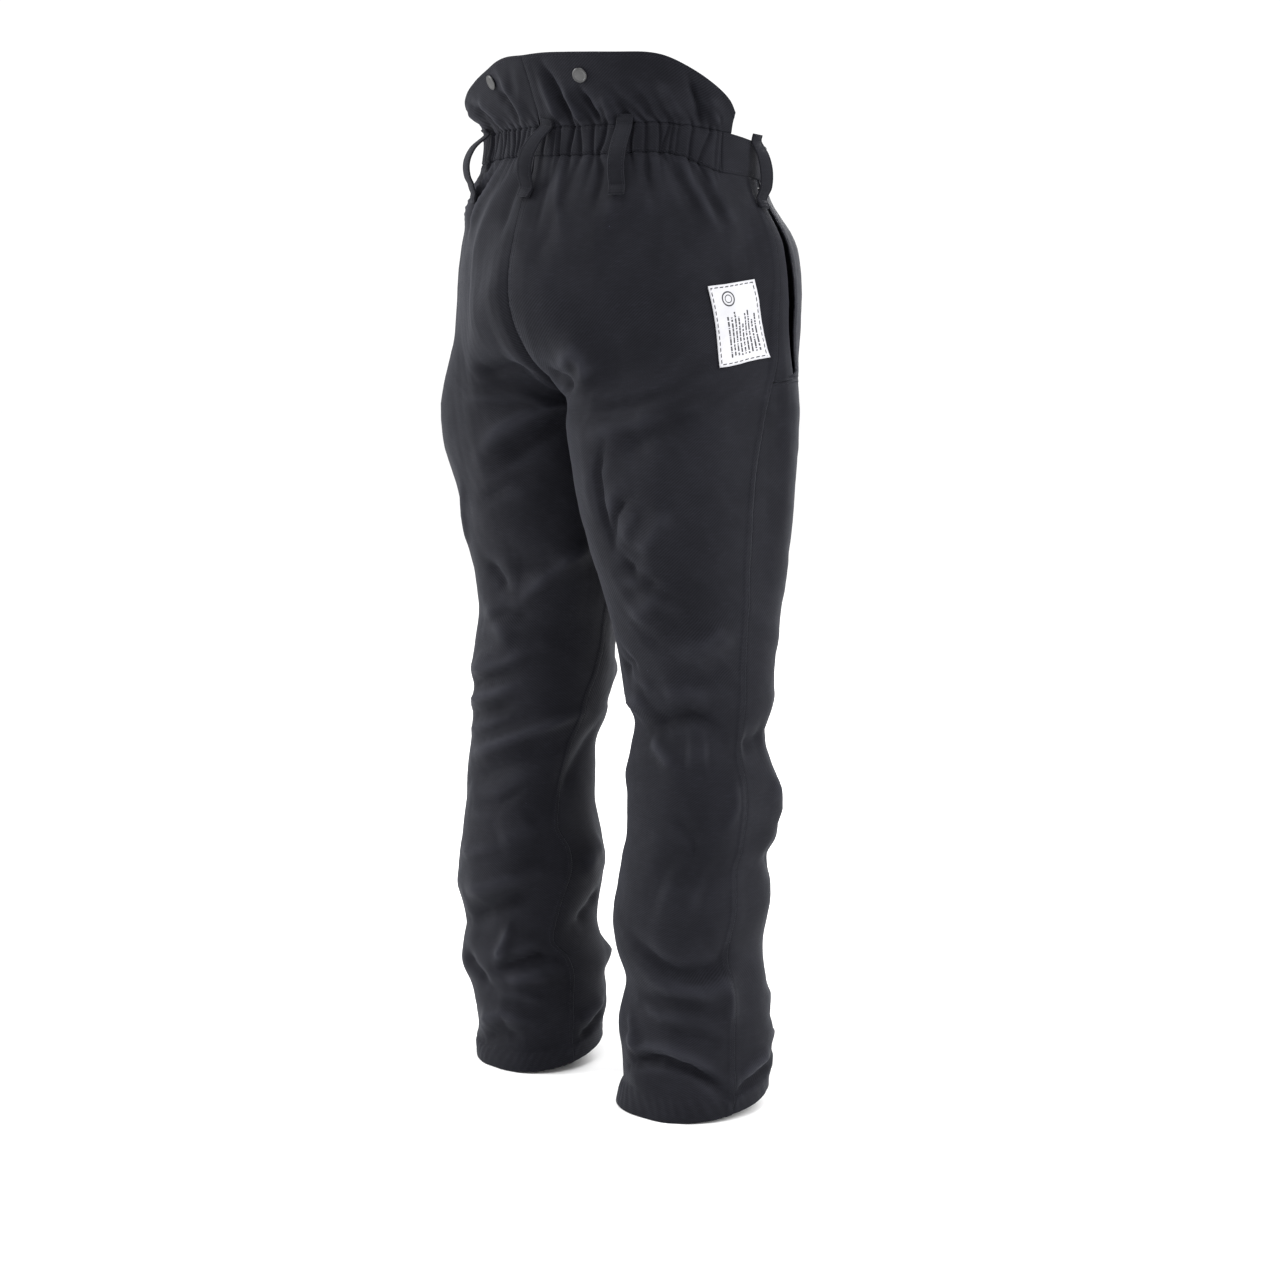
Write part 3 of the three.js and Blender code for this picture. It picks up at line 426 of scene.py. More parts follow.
def stroke(s, v, whole, height, width, points):
    """Height of one fold at points (s, v), mm; the fold tapers at both ends."""
    t_line, v_line = np.array(points, float).T
    line = np.stack([arc(t_line, v_line)[0], v_line], -1)
    lap = np.where(v < CROTCH_Z, np.round((line[:, 0].mean() - s) / whole), 0)
    x = s + lap * whole
    lengths = np.linalg.norm(np.diff(line, axis=0), axis=1)
    total, start = lengths.sum(), 0.0
    best = np.full(x.shape, 1e9)
    where = np.zeros(x.shape)
    for a, b, ln in zip(line[:-1], line[1:], lengths):
        d = (b - a) / ln
        u = np.clip((x - a[0]) * d[0] + (v - a[1]) * d[1], 0, ln)
        dist = np.hypot(x - a[0] - u * d[0], v - a[1] - u * d[1])
        near = dist < best
        best = np.where(near, dist, best)
        where = np.where(near, (start + u) / total, where)
        start += ln
    taper = 0.25 + 0.75 * np.minimum(smooth(where, 0, 0.3), 1 - smooth(where, 0.7, 1))
    if height > 0:
        shape = np.exp(0.04 - ((best / width) ** 2 + 0.014) ** 0.75)
    else:
        shape = np.exp(-np.sqrt((best / width) ** 2 + 0.09) * 1.5 + 0.45)
    fade = np.where(lap != 0, 1 - smooth(v, CROTCH_Z - 45, CROTCH_Z), 1)
    return height * taper * shape * fade


FOLD_DEPTH = {"left": 1.75, "right": 1.55}      # all folds of a half are deepened by this much
ROUGH = {"left": (Noise(3), Noise(5), Noise(7)), "right": (Noise(11), Noise(13), Noise(17))}


def pleats(seed, spacing):
    """Gathers of the elastic waist: place round the row, height, reach and slant of each."""
    rnd = np.random.RandomState(seed)
    out, x = [], -9.0
    while x < 300:
        x += spacing * rnd.uniform(0.45, 1.65)
        out.append((x, rnd.uniform(0.4, 1.45), rnd.uniform(0.45, 1.8), rnd.uniform(-0.4, 0.4)))
    return out


PLEATS = {"left": pleats(25, 8.2), "right": pleats(26, 8.4)}
PLEAT_LEAN = {"left": (0.75, 0.8), "right": (-0.45, 0.65)}      # their sideways run above and below
PLEAT_DEPTH = 2.9


def own_relief(side, t, v):
    """Folds of one half of the garment, mm, before both halves are made to meet at the middle."""
    t, v = grids(t, v)
    s, whole = arc(t, v)
    h = np.zeros(t.shape)
    for fold in FOLDS[side] + FRONT_FOLDS + HIP_FOLDS[side] + BACK_FOLDS[side]:
        h = h + FOLD_DEPTH[side] * stroke(s, v, whole, *fold)
    x, y = (turn(2 * np.pi * t) * whole / (2 * np.pi) for turn in (np.cos, np.sin))
    coarse, middle, fine = ROUGH[side]
    leg = 1 - smooth(v, CROTCH_Z - 40, CROTCH_Z + 40)
    low = 1 - smooth(v, -640, -420)
    h = h + leg * (0.8 + 0.9 * low) * coarse(x / 46 + 30, (v + 0.5 * y) / 34 + 40)
    h = h + (0.35 + 0.45 * leg) * middle(x / 21 + 9 + y / 60, (v - y * 0.7) / 19 + 50)
    return h + 0.16 * fine(s / 8 + 5, v / 7 + 5)


def relief(side, t, v):
    """Folds at (t, v), mm outwards, equal for both halves at the middle, and none at the fly."""
    t, v = grids(t, v)
    h = own_relief(side, t, v)
    s, whole = arc(t, v)
    near = np.minimum(s, whole - s)
    w = (1 - smooth(near, 0, 38)) * smooth(v, CROTCH_Z - 6, CROTCH_Z + 25)
    if np.any(w > 0):
        h = h + 0.5 * w * (own_relief("right" if side == "left" else "left", t, v) - h)
    crotch = 1 - 0.75 * (1 - smooth(near, 0, 30)) * bump(v, CROTCH_Z - 50, CROTCH_Z + 60)
    fly = 1 - smooth(t, 0.8, 0.89) * smooth(v, -200, -172)
    return h * crotch * fly


def band_low(t):
    """Height of the seam under the waistband: higher where the elastic has drawn the casing in."""
    return 18 - 11 * smooth(t, 0.3, CASING_END)


def band_top(t):
    """Height of the waistband's upper edge, a little lower in front."""
    return BAND_H - 4 * smooth(t, CASING_END, 0.6)


def under_band(t, v):
    """Rows just below the waist are lifted so that the last one follows the waistband's lower seam."""
    return v + band_low(t) * smooth(v, -40, 0)


def ruffle(side, t, v):
    """Gathers of the elastic waist, mm: narrow slanting valleys across the casing that die out beyond it."""
    t, v = grids(t, v)
    s, _ = arc(t, v)
    low = band_low(t)
    up, down = np.maximum(v - BAND_H, 0), np.maximum(low - v, 0)
    middle = (low + BAND_H) / 2
    h = np.zeros(s.shape)
    for x, k, reach, slant in PLEATS[side]:
        over, under = PLEAT_LEAN[side]
        lean = (slant * np.clip(v - middle, -16, 16) * 0.5 + 0.8 * np.sin((v - 22) / 7 + x)
                + (over + slant) * up + (under * smooth(x, 20, 150) + slant) * down)
        wide = (1.3 + 0.5 * reach) * (1 + 0.035 * (up + down))
        size = np.exp(-(up / (13 * reach)) ** 1.3) * np.exp(-(down / (17 * reach)) ** 1.3)
        h = h - k * np.exp(-np.abs((s - x - lean) / wide) ** 1.6) * size
    puff = 1.1 * np.exp(-up / 12 - down / 14)
    fade = 1 - smooth(t, CASING_END - 0.012, CASING_END)
    seams = ridge(v - low, 1.5) + ridge(v - BAND_H, 1.5)
    return fade * (PLEAT_DEPTH * h + puff - 1.1 * seams)


def mouth_t(v):
    """Fraction t of the pocket mouth's front edge."""
    return 0.604 - 0.018 * smooth(v, POCKET_BOTTOM, 0)


# ------------------------------------------------------------------ the worn surface
HIP_SWELL = 12.0            # the right hip stands out over the pocket
SEAT_SWELL = 8.0            # and the left one lower down
BACK_DROP = 3.0             # behind, the waist sits a little low
SIDE_DROP = {"left": 7.0, "right": 5.0}         # and lower still round the sides
FLARE = {"left": 13.0, "right": 6.0}            # the ends of the high back lean outwards
FLARE_SPAN = {"left": (0.1, 0.3), "right": (0.22, 0.42)}
HALF_GAP = 0.03             # least distance of the cloth from the middle plane
SETTLED = {}


def swell(side, t, v):
    """How far the body under the cloth pushes it out, mm."""
    flare = FLARE[side] * smooth(v, BAND_H - 2, BAND_H + 44) * smooth(t, *FLARE_SPAN[side])
    if side == "right":
        return flare + HIP_SWELL * bump(t, 0.4, 0.86) * smooth(v, -262, -190) * (1 - smooth(v, -70, 5))
    return flare + SEAT_SWELL * bump(t, 0.08, 0.6) * bump(v, -330, -95)


def waist_drop(side, t, v):
    """How far the waist hangs below its cut line, mm."""
    front = 1 - smooth(t, 0.7, 0.95)
    if side == "left":
        down = (BACK_DROP + SIDE_DROP[side] * smooth(t, 0.02, 0.3)) * front
    else:
        down = BACK_DROP * (1 - smooth(t, 0.1, 0.3)) + SIDE_DROP[side] * smooth(t, 0.25, 0.45) * front
    s, _ = arc(t, v)
    wobble = 0.9 * ROUGH[side][2](s / 6 + 70, 3) * ridge(v - 32, 24) * smooth(s, 0, 12)
    return down * smooth(v, -120, 10) + wobble * (1 - smooth(t, CASING_END - 0.02, CASING_END))


def settled(side, t, v):
    """How far the cloth simulation moved the surface at (t, v), mm, for the left half's directions."""
    if side not in SETTLED:
        return 0.0
    x = (t - np.floor(t)) * (len(SETTLE_T) - 1)
    y = np.interp(v, SETTLE_V, np.arange(len(SETTLE_V)))
    return between(SETTLED[side], x, y)


def at(side, t, v, depth=0.0, folds=None):
    """Points `depth` mm inside the worn outer surface, in the frame, mm."""
    t, v = grids(t, v)
    if folds is None:
        folds = relief(side, t, v)
    seam = from_middle(t)
    out = normal(t, v)
    out[..., 0] *= np.where(v < CROTCH_Z, 1, smooth(seam, 0, 0.02))
    p = hang(side, surface(t, v), t, v)
    p = p + out * (folds - depth + swell(side, t, v))[..., None] + settled(side, t, v)
    instep = (0.5 - 0.5 * np.cos(2 * np.pi * (t - 0.27))) ** 1.4
    p[..., 2] += HEM_LIFT * instep * (1 - smooth(v, HEM_Z, HEM_Z + 120)) - waist_drop(side, t, v)
    # below the fly the two halves draw together, and their cut edges meet
    drawn = (1 - smooth(seam, 0, 0.008)) * smooth(v, CROTCH_Z - 32, CROTCH_Z)
    drawn = drawn * (1 - smooth(v, FLY_BOTTOM - 20, FLY_BOTTOM))
    sewn = (1 - smooth(seam, 0.0001, 0.0006)) * smooth(v, CROTCH_Z - 8, CROTCH_Z)
    p[..., 0] = SIDES[side] * np.maximum(p[..., 0] * (1 - drawn), HALF_GAP) * (1 - sewn)
    return p


def out_of(side, t, v):
    return normal(t, v) * np.array([SIDES[side], 1, 1])


def front_t(x, v):
    """Fraction t, from the front, at which row v reaches distance x from the middle."""
    x, v = grids(x, v)
    lo, hi = np.full(x.shape, 0.7), np.ones(x.shape)
    for _ in range(30):
        mid = (lo + hi) / 2
        far = surface(mid, v)[..., 0] > x
        lo, hi = np.where(far, mid, lo), np.where(far, hi, mid)
    return (lo + hi) / 2


# ------------------------------------------------------------------ cloth simulation of the hang
SETTLE_T = np.linspace(0, 1, 49)
SETTLE_V = np.concatenate([np.arange(HEM_Z, CROTCH_Z, 9.0), np.arange(CROTCH_Z + 5, 1, 8.0)])
SETTLE_FRAMES = 26
SETTLE_MOST = 7.0           # mm, the farthest that a point may move
SETTLE_CLOTH = {
    "quality": 7, "mass": 0.35, "tension_stiffness": 40, "compression_stiffness": 30, "shear_stiffness": 25,
    "bending_stiffness": 1.5, "shrink_min": -0.025, "shrink_max": -0.025, "vertex_group_mass": "held"}


def held_share(t, v):
    """How firmly each place is held: hem, waist, middle seams, fly and pocket end."""
    held = np.maximum(1 - smooth(v, HEM_Z + 9, HEM_Z + 30), smooth(v, -40, -16))
    held = np.maximum(held, smooth(v, CROTCH_Z - 12, CROTCH_Z) * (1 - smooth(from_middle(t), 0.0, 0.03)))
    held = np.maximum(held, smooth(t, 0.76, 0.82) * smooth(v, -200, -175))
    return np.maximum(held, bump(t, 0.5, 0.72) * smooth(v, -225, -200))


def settle(side):
    """Let half of the trousers hang as cloth, a little longer than its space, and keep how far it moved."""
    t, v = np.meshgrid(SETTLE_T, SETTLE_V)
    start = at(side, t, v)
    rows, cols = t.shape
    index = np.arange(rows * cols).reshape(rows, cols)
    tube = SETTLE_V < CROTCH_Z
    index[tube, -1] = index[tube, 0]
    faces = np.stack([index[:-1, :-1], index[:-1, 1:], index[1:, 1:], index[1:, :-1]], -1).reshape(-1, 4)
    held = held_share(t, v)
    mesh = bpy.data.meshes.new("settling")
    mesh.from_pydata((start.reshape(-1, 3) * MM).tolist(), [], faces.tolist())
    ob = bpy.data.objects.new("settling", mesh)
    scene = bpy.context.scene
    scene.collection.objects.link(ob)
    group = ob.vertex_groups.new(name="held")
    for k, weight in enumerate(held.ravel()):
        if weight > 0:
            group.add([k], float(min(weight, 1)), "REPLACE")
    modifier = ob.modifiers.new("cloth", "CLOTH")
    for key, value in SETTLE_CLOTH.items():
        setattr(modifier.settings, key, value)
    modifier.collision_settings.use_collision = False
    modifier.collision_settings.use_self_collision = False
    modifier.point_cache.frame_start = 1
    modifier.point_cache.frame_end = SETTLE_FRAMES
    first = scene.frame_current
    for step in range(1, SETTLE_FRAMES + 1):
        scene.frame_set(step)
    hung = ob.evaluated_get(bpy.context.evaluated_depsgraph_get()).data
    end = np.empty(rows * cols * 3)
    hung.vertices.foreach_get("co", end)
    scene.frame_set(first)
    bpy.data.objects.remove(ob)
    bpy.data.meshes.remove(mesh)
    moved = (end.reshape(rows, cols, 3) / MM - start) * np.array([SIDES[side], 1, 1])
    moved[tube, -1] = moved[tube, 0]
    out = normal(t, v)
    outward = (moved * out).sum(-1).mean(1)
    moved -= out * outward[:, None, None]       # the cloth keeps its girth and only folds
    for _ in range(2):
        wide = np.concatenate([moved[:, -2:-1], moved, moved[:, 1:2]], 1)
        moved = (wide[:, :-2] + 2 * wide[:, 1:-1] + wide[:, 2:]) / 4
        moved[1:-1] = (moved[:-2] + 2 * moved[1:-1] + moved[2:]) / 4
    far = np.linalg.norm(moved, axis=-1, keepdims=True)
    moved *= np.minimum(1, SETTLE_MOST / np.maximum(far, 1e-6))
    return moved * (1 - np.clip(held, 0, 1))[..., None]


SETTLED = {side: settle(side) for side in SIDES}

# ------------------------------------------------------------------ meshes
MATERIALS = {}
PIECES = {}


def mesh_piece(name, points, faces, finish, body="garment", uv=None, wear=None, stands_for=None):
    """A mesh from points in mm that rides on a body and replaces CAD nodes, its own namesake by default."""
    me = bpy.data.meshes.new(name)
    me.from_pydata((np.asarray(points, float).reshape(-1, 3) * MM).tolist(), [], faces)
    me.polygons.foreach_set("use_smooth", [True] * len(me.polygons))
    if uv is not None:
        index = np.empty(len(me.loops), int)
        me.loops.foreach_get("vertex_index", index)
        spots = np.asarray(uv, float).reshape(-1, 2)[index]
        me.uv_layers.new(name="UVMap").data.foreach_set("uv", spots.ravel())
    if wear is not None:
        # share of the lighter colour per point: painted highlight on fold ridges and raised seams, partly
        # rubbed wear
        layer = me.attributes.new("wear", "FLOAT", "POINT")
        layer.data.foreach_set("value", np.asarray(wear, np.float32).ravel())
    me.materials.append(MATERIALS[finish])
    me.update()
    ob = bpy.data.objects.new(name, me)
    bpy.context.scene.collection.objects.link(ob)
    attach(ob, body)
    nodes = (name,) if stands_for is None else stands_for
    if nodes:
        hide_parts(*nodes)
    PIECES[name] = ob
    return ob


def sheet_faces(rows, cols, ring=False):
    """Faces of a closed sheet: outer grid, inner grid, and the rims between them."""
    n = rows * cols
    faces = []
    last = cols if ring else cols - 1
    for j in range(rows - 1):
        for i in range(last):
            k = (i + 1) % cols
            a, b, c, d = j * cols + i, j * cols + k, (j + 1) * cols + k, (j + 1) * cols + i
            faces.append((a, d, c, b))
            faces.append((n + a, n + b, n + c, n + d))
    for i in range(last):
        k = (i + 1) % cols
        faces.append((i, k, n + k, n + i))
        a, b = (rows - 1) * cols + i, (rows - 1) * cols + k
        faces.append((b, a, n + a, n + b))
    if not ring:
        for j in range(rows - 1):
            a, b = j * cols, (j + 1) * cols
            faces.append((b, a, n + a, n + b))
            a, b = a + cols - 1, b + cols - 1
            faces.append((a, b, n + b, n + a))
    return faces


def flip(faces):
    return [tuple(reversed(face)) for face in faces]


def sheet_piece(name, outer, inner, finish, uv, wear=0.0, flipped=False, ring=False, **how):
    """A closed sheet of cloth between two grids of points, mm; uv is each place's spot on the flat cloth."""
    shape = outer.shape[:2]
    faces = sheet_faces(*shape, ring)
    wear = np.broadcast_to(wear, shape).ravel()
    uv = uv.reshape(-1, 2)
    return mesh_piece(name, np.concatenate([outer.reshape(-1, 3), inner.reshape(-1, 3)]),
                      flip(faces) if flipped else faces, finish,
                      uv=np.concatenate([uv, uv]), wear=np.concatenate([wear, wear]), **how)


def raised_highlight_and_wear(high):
    """Painted highlight, partly rubbed wear, from a grid of heights: where it stands out from the cloth
    around it, but not along the edges.
    """
    rub = np.zeros(high.shape)
    if min(high.shape) > 4:
        around = sum(np.roll(high, step, axis) for axis in (0, 1) for step in (3, -3)) / 4
        rub[3:-3, 3:-3] = np.clip((high - around) * 0.2, 0, 1)[3:-3, 3:-3]
    return rub


def cloth(name, side, t, v, out, thick, finish, folds=None, **how):
    """A sheet of cloth over the worn surface. t, v, out are grids; out is the depth of its outer face."""
    t, v, out = grids(t, v, out)
    if folds is None:
        folds = relief(side, t, v)
    uv = np.stack([arc(t, v)[0], v], -1) * MM
    # lighter where the cloth stands out: painted highlight on fold ridges and raised seams, partly rubbed
    # wear
    return sheet_piece(name, at(side, t, v, out, folds), at(side, t, v, out + thick, folds), finish, uv,
                       wear=raised_highlight_and_wear(folds - out), flipped=side == "right", **how)


def across(name, line, v, out, thick, finish, pleat=None):
    """A sheet across the centre back. line runs from -end to end in t; v and out are grids."""
    v, out, t = grids(v, out, np.maximum(np.abs(line), 1e-6))
    outer = np.empty(v.shape + (3,))
    inner = np.empty(v.shape + (3,))
    for side, pick in (("left", line >= 0), ("right", line < 0)):
        place = t[:, pick], v[:, pick]
        folds = relief(side, *place)
        depth = out[:, pick] - (pleat(side, *place) if pleat else 0.0)
        outer[:, pick] = at(side, *place, depth, folds)
        inner[:, pick] = at(side, *place, depth + thick, folds)
    centre = np.abs(line) < 1e-5
    outer[:, centre, 0] = inner[:, centre, 0] = 0
    uv = np.stack([arc(t, v)[0] * np.sign(line), v], -1) * MM
    return sheet_piece(name, outer, inner, finish, uv)


def spread(n, width):
    """Fractions 0..1 for n even columns across `width` mm, with closer ones along both edges."""
    fine = np.array([0.0, 0.8, 1.7, 3.2, 5.0, 6.4, 7.4, 9.0, 12.0]) / width
    even = np.linspace(fine[-1], 1 - fine[-1], n)
    return np.concatenate([fine[:-1], even, 1 - fine[:-1][::-1]])


# ------------------------------------------------------------------ stitches
THREADS = {}
THREAD_R = 0.27
THREAD_SIDES = 6
ALONG_STITCH = np.array([0.0, 0.12, 0.5, 0.88, 1.0])        # where the rings of one stitch lie
STITCH_GROW = np.array([0.25, 0.85, 1.0, 0.85, 0.25])       # their share of the thread's radius
STITCH_RISE = np.array([-0.9, -0.1, 0.35, -0.1, -0.9])      # and how they arch out of the cloth


def unit(vectors):
    return vectors / np.maximum(np.linalg.norm(vectors, axis=-1, keepdims=True), 1e-9)


def stitch_row(group, points, normals, length=2.5, gap=1.1):
    """One row of stitches along a dense line of points (mm), collected by group."""
    points = np.asarray(points, float)
    normals = np.asarray(normals, float)
    run = np.concatenate([[0], np.cumsum(np.linalg.norm(np.diff(points, axis=0), axis=1))])
    if run[-1] < length:
        return
    n = int((run[-1] + gap) / (length + gap))
    where = ((np.arange(n) + 0.1) * (run[-1] + gap) / n)[:, None] + ALONG_STITCH * length
    p, m = (np.stack([np.interp(where, run, line[:, i]) for i in range(3)], -1) for line in (points, normals))
    m = unit(m)
    sideways = unit(np.cross(unit(p[:, -1] - p[:, 0])[:, None, :], m))
    p = p + m * (0.1 + THREAD_R * STITCH_RISE)[:, None]
    rings = []
    for q in range(THREAD_SIDES):
        a = 2 * math.pi * q / THREAD_SIDES
        rings.append(p + (sideways * math.cos(a) + m * math.sin(a) * 0.8) * (THREAD_R * STITCH_GROW)[:, None])
    THREADS.setdefault(group, []).append(np.stack(rings, 2))


def sew(side, group, t, v, depth=0.0, folds=None, **spacing):
    """A stitch row along a line given by arrays t, v on the worn surface."""
    t, v = grids(t, v)
    stitch_row(group, at(side, t, v, depth, folds), out_of(side, t, v), **spacing)


def sew_beside(side, group, low, high, edge, offsets, depth):
    """Stitch rows from height low to high, each `offset` mm round from the line t = edge(v)."""
    v = np.arange(low, high, 1.2)
    whole = arc(np.full(v.shape, 1.0), v)[1]
    for offset in offsets:
        t = edge(v) + offset / whole
        sew(side, group, t, v, depth(t, v))


def finish_threads():
    n, rings = THREAD_SIDES, len(ALONG_STITCH)
    one = [(r * n + q, r * n + (q + 1) % n, (r + 1) * n + (q + 1) % n, (r + 1) * n + q)
           for r in range(rings - 1) for q in range(n)]
    one.append(tuple(range(n - 1, -1, -1)))
    one.append(tuple(range(n * (rings - 1), n * rings)))
    one = flip(one)
    for group, runs in THREADS.items():
        points = np.concatenate([run.reshape(-1, n * rings, 3) for run in runs])
        faces = [tuple(i + n * rings * k for i in face) for k in range(len(points)) for face in one]
        body = "fly" if group in ("fly_flap", "waist_tab") else "garment"
        mesh_piece("stitches_" + group, points, faces, "thread", body, stands_for=())


# ------------------------------------------------------------------ materials
WAVE_PITCH = 3.1831         # a wave texture of scale 1 repeats every 1 / 3.1831
# The third colour of each finish is laid where the cloth stands out: painted highlight on fold ridges and
# raised seams, partly rubbed wear.
INK_BLUE = (0.0026, 0.0027, 0.0046), (0.0088, 0.009, 0.0136), (0.017, 0.0175, 0.024)
BINDING_BLUE = (0.0024, 0.0025, 0.0042), (0.0078, 0.008, 0.0118), (0.017, 0.0175, 0.024)
LINING_GREY = (0.008, 0.0085, 0.011), (0.014, 0.015, 0.018), (0.02, 0.02, 0.024)
PADDING_CREAM = (0.5, 0.48, 0.4), (0.74, 0.72, 0.62), (0.8, 0.78, 0.7)
ELASTIC_BLACK = (0.006, 0.006, 0.007), (0.018, 0.018, 0.02), (0.03, 0.03, 0.032)
LABEL_W, LABEL_L = 54.0, 80.0


def shade(colour, share):
    return tuple(c * share for c in colour)


class Finish:
    """A material and the nodes that feed its surface."""

    def __init__(self, name, colour, rough, metal=0.0, sheen=0.0, specular=0.3):
        MATERIALS[name] = made = bpy.data.materials.new(name)
        made.use_nodes = True
        self.tree = made.node_tree
        self.into = self.tree.nodes["Principled BSDF"].inputs
        self.feed(self.into["Base Color"], colour)
        self.feed(self.into["Roughness"], rough)
        self.feed(self.into["Metallic"], metal)
        self.feed(self.into["Specular IOR Level"], specular)
        if sheen:
            self.feed(self.into["Sheen Weight"], sheen)
            self.feed(self.into["Sheen Roughness"], 0.45)
            self.feed(self.into["Sheen Tint"], (0.72, 0.76, 0.9))

    def feed(self, socket, value):
        """Give a socket another node's output, a colour, a vector or a number."""
        if isinstance(value, bpy.types.NodeSocket):
            self.tree.links.new(value, socket)
        else:
            socket.default_value = (*value, 1) if socket.type == "RGBA" else value

    def node(self, kind, *inputs, settings=(), **named):
        """A node with its own settings, its first inputs in order, and others by name."""
        made = self.tree.nodes.new(kind)
        for key, value in dict(settings).items():
            setattr(made, key, value)
        for socket, value in zip(made.inputs, inputs):
            self.feed(socket, value)
        for key, value in named.items():
            self.feed(made.inputs[key.replace("_", " ")], value)
        return made

    def uv(self):
        return self.node("ShaderNodeUVMap", settings={"uv_map": "UVMap"}).outputs[0]

    def mapped(self, where, **change):
        return self.node("ShaderNodeMapping", where, **change).outputs[0]

    def noise(self, where, scale, detail, rough=0.5):
        made = self.node("ShaderNodeTexNoise", where, Scale=scale, Detail=detail, Roughness=rough)
        return made.outputs["Fac"]

    def wave(self, where, pitch, distortion, direction="X", detail_scale=1.0):
        made = self.node("ShaderNodeTexWave", where, settings={"bands_direction": direction},
                         Scale=1 / (pitch * WAVE_PITCH), Distortion=distortion, Detail=1.0,
                         Detail_Scale=detail_scale)
        return made.outputs["Fac"]

    def mix(self, a, b, share):
        made = self.node("ShaderNodeMix", share, settings={"data_type": "RGBA", "blend_type": "MIX"})
        self.feed(made.inputs[6], a)
        self.feed(made.inputs[7], b)
        return made.outputs[2]

    def sum(self, operation, a, b=0.0, clamp=False):
        settings = {"operation": operation, "use_clamp": clamp}
        return self.node("ShaderNodeMath", a, b, settings=settings).outputs[0]

    def ramp(self, value, low, high, start=0.0, stop=1.0):
        return self.node("ShaderNodeMapRange", value, low, high, start, stop).outputs[0]

    def raise_by(self, height, size_mm, strength):
        made = self.node("ShaderNodeBump", Strength=strength, Distance=size_mm * MM, Height=height)
        self.feed(self.into["Normal"], made.outputs[0])


def twill(name, colours, wale=1.9, rough=0.78, sheen=0.06, bump_mm=0.16, angle=0.96):
    """Woven twill: slanting wales crossed by yarns, fuzz, lint, slow colour drift, and a lighter colour on
    raised ridges that is painted highlight, partly rubbed wear.
    """
    dark, light, highlight_and_worn = colours
    f = Finish(name, dark, rough, sheen=sheen, specular=0.14)
    uv = f.uv()
    turned = f.mapped(uv, Rotation=(0, 0, angle))
    wales = f.wave(turned, wale * MM, 0.6, detail_scale=1.5)
    yarns = f.wave(turned, wale * 0.62 * MM, 0.8, "Y")
    fuzz = f.noise(uv, 1400.0, 3.0, 0.6)
    slub = f.noise(f.mapped(uv, Scale=(0.35, 1.6, 1.0)), 260.0, 2.0)
    drift = f.noise(uv, 16.0, 3.0, 0.55)
    wear = f.node("ShaderNodeAttribute", settings={"attribute_name": "wear"}).outputs["Fac"]
    lint = f.node("ShaderNodeTexVoronoi", uv, Scale=42.0).outputs["Distance"]
    weave = f.sum("MULTIPLY", wales, f.ramp(yarns, 0, 1, 0.6, 1.0))
    weave = f.sum("ADD", weave, f.ramp(fuzz, 0.3, 0.7, -0.22, 0.22))
    colour = f.mix(dark, light, f.ramp(weave, 0, 1))
    colour = f.mix(colour, shade(light, 1.35), f.ramp(slub, 0.52, 0.8, 0.0, 0.4))
    colour = f.mix(colour, shade(dark, 0.72), f.ramp(drift, 0.42, 0.7, 0.0, 0.45))
    # painted highlight on fold ridges and raised seams, partly rubbed wear: the third colour where the cloth
    # stands out
    colour = f.mix(colour, highlight_and_worn, f.sum("MULTIPLY", wear, f.ramp(fuzz, 0.3, 0.7, 0.55, 1.2), True))
    colour = f.mix(colour, shade(light, 9), f.sum("MULTIPLY", f.sum("LESS_THAN", lint, 0.014), 0.6))
    f.feed(f.into["Base Color"], colour)
    level = f.ramp(weave, 0, 1, rough + 0.08, rough - 0.06)
    level = f.sum("ADD", level, f.ramp(drift, 0.3, 0.7, -0.05, 0.05))
    f.feed(f.into["Roughness"], f.sum("SUBTRACT", level, f.sum("MULTIPLY", wear, 0.1), True))
    f.raise_by(f.sum("ADD", weave, f.ramp(slub, 0.3, 0.7, -0.4, 0.4)), bump_mm, 0.55)


def grainy(name, colour, rough, scale, metal=0.0, bump_mm=0.02, specular=0.5, sheen=0.0, stretch=(1, 1, 1)):
    """A finish with fine grain in colour, roughness and height, placed by the object's own coordinates."""
    f = Finish(name, colour, rough, metal=metal, sheen=sheen, specular=specular)
    where = f.node("ShaderNodeTexCoord").outputs["Object"]
    fine = f.noise(f.mapped(where, Scale=stretch), scale, 4.0, 0.6)
    broad = f.noise(where, scale / 14, 2.0)
    grain = f.sum("ADD", f.sum("MULTIPLY", fine, 0.6), f.sum("MULTIPLY", broad, 0.4))
    f.feed(f.into["Base Color"], f.mix(shade(colour, 0.75), shade(colour, 1.25), f.ramp(grain, 0.3, 0.7)))
    f.feed(f.into["Roughness"], f.ramp(grain, 0.3, 0.7, rough - 0.1, rough + 0.12))
    f.raise_by(fine, bump_mm, 0.5)


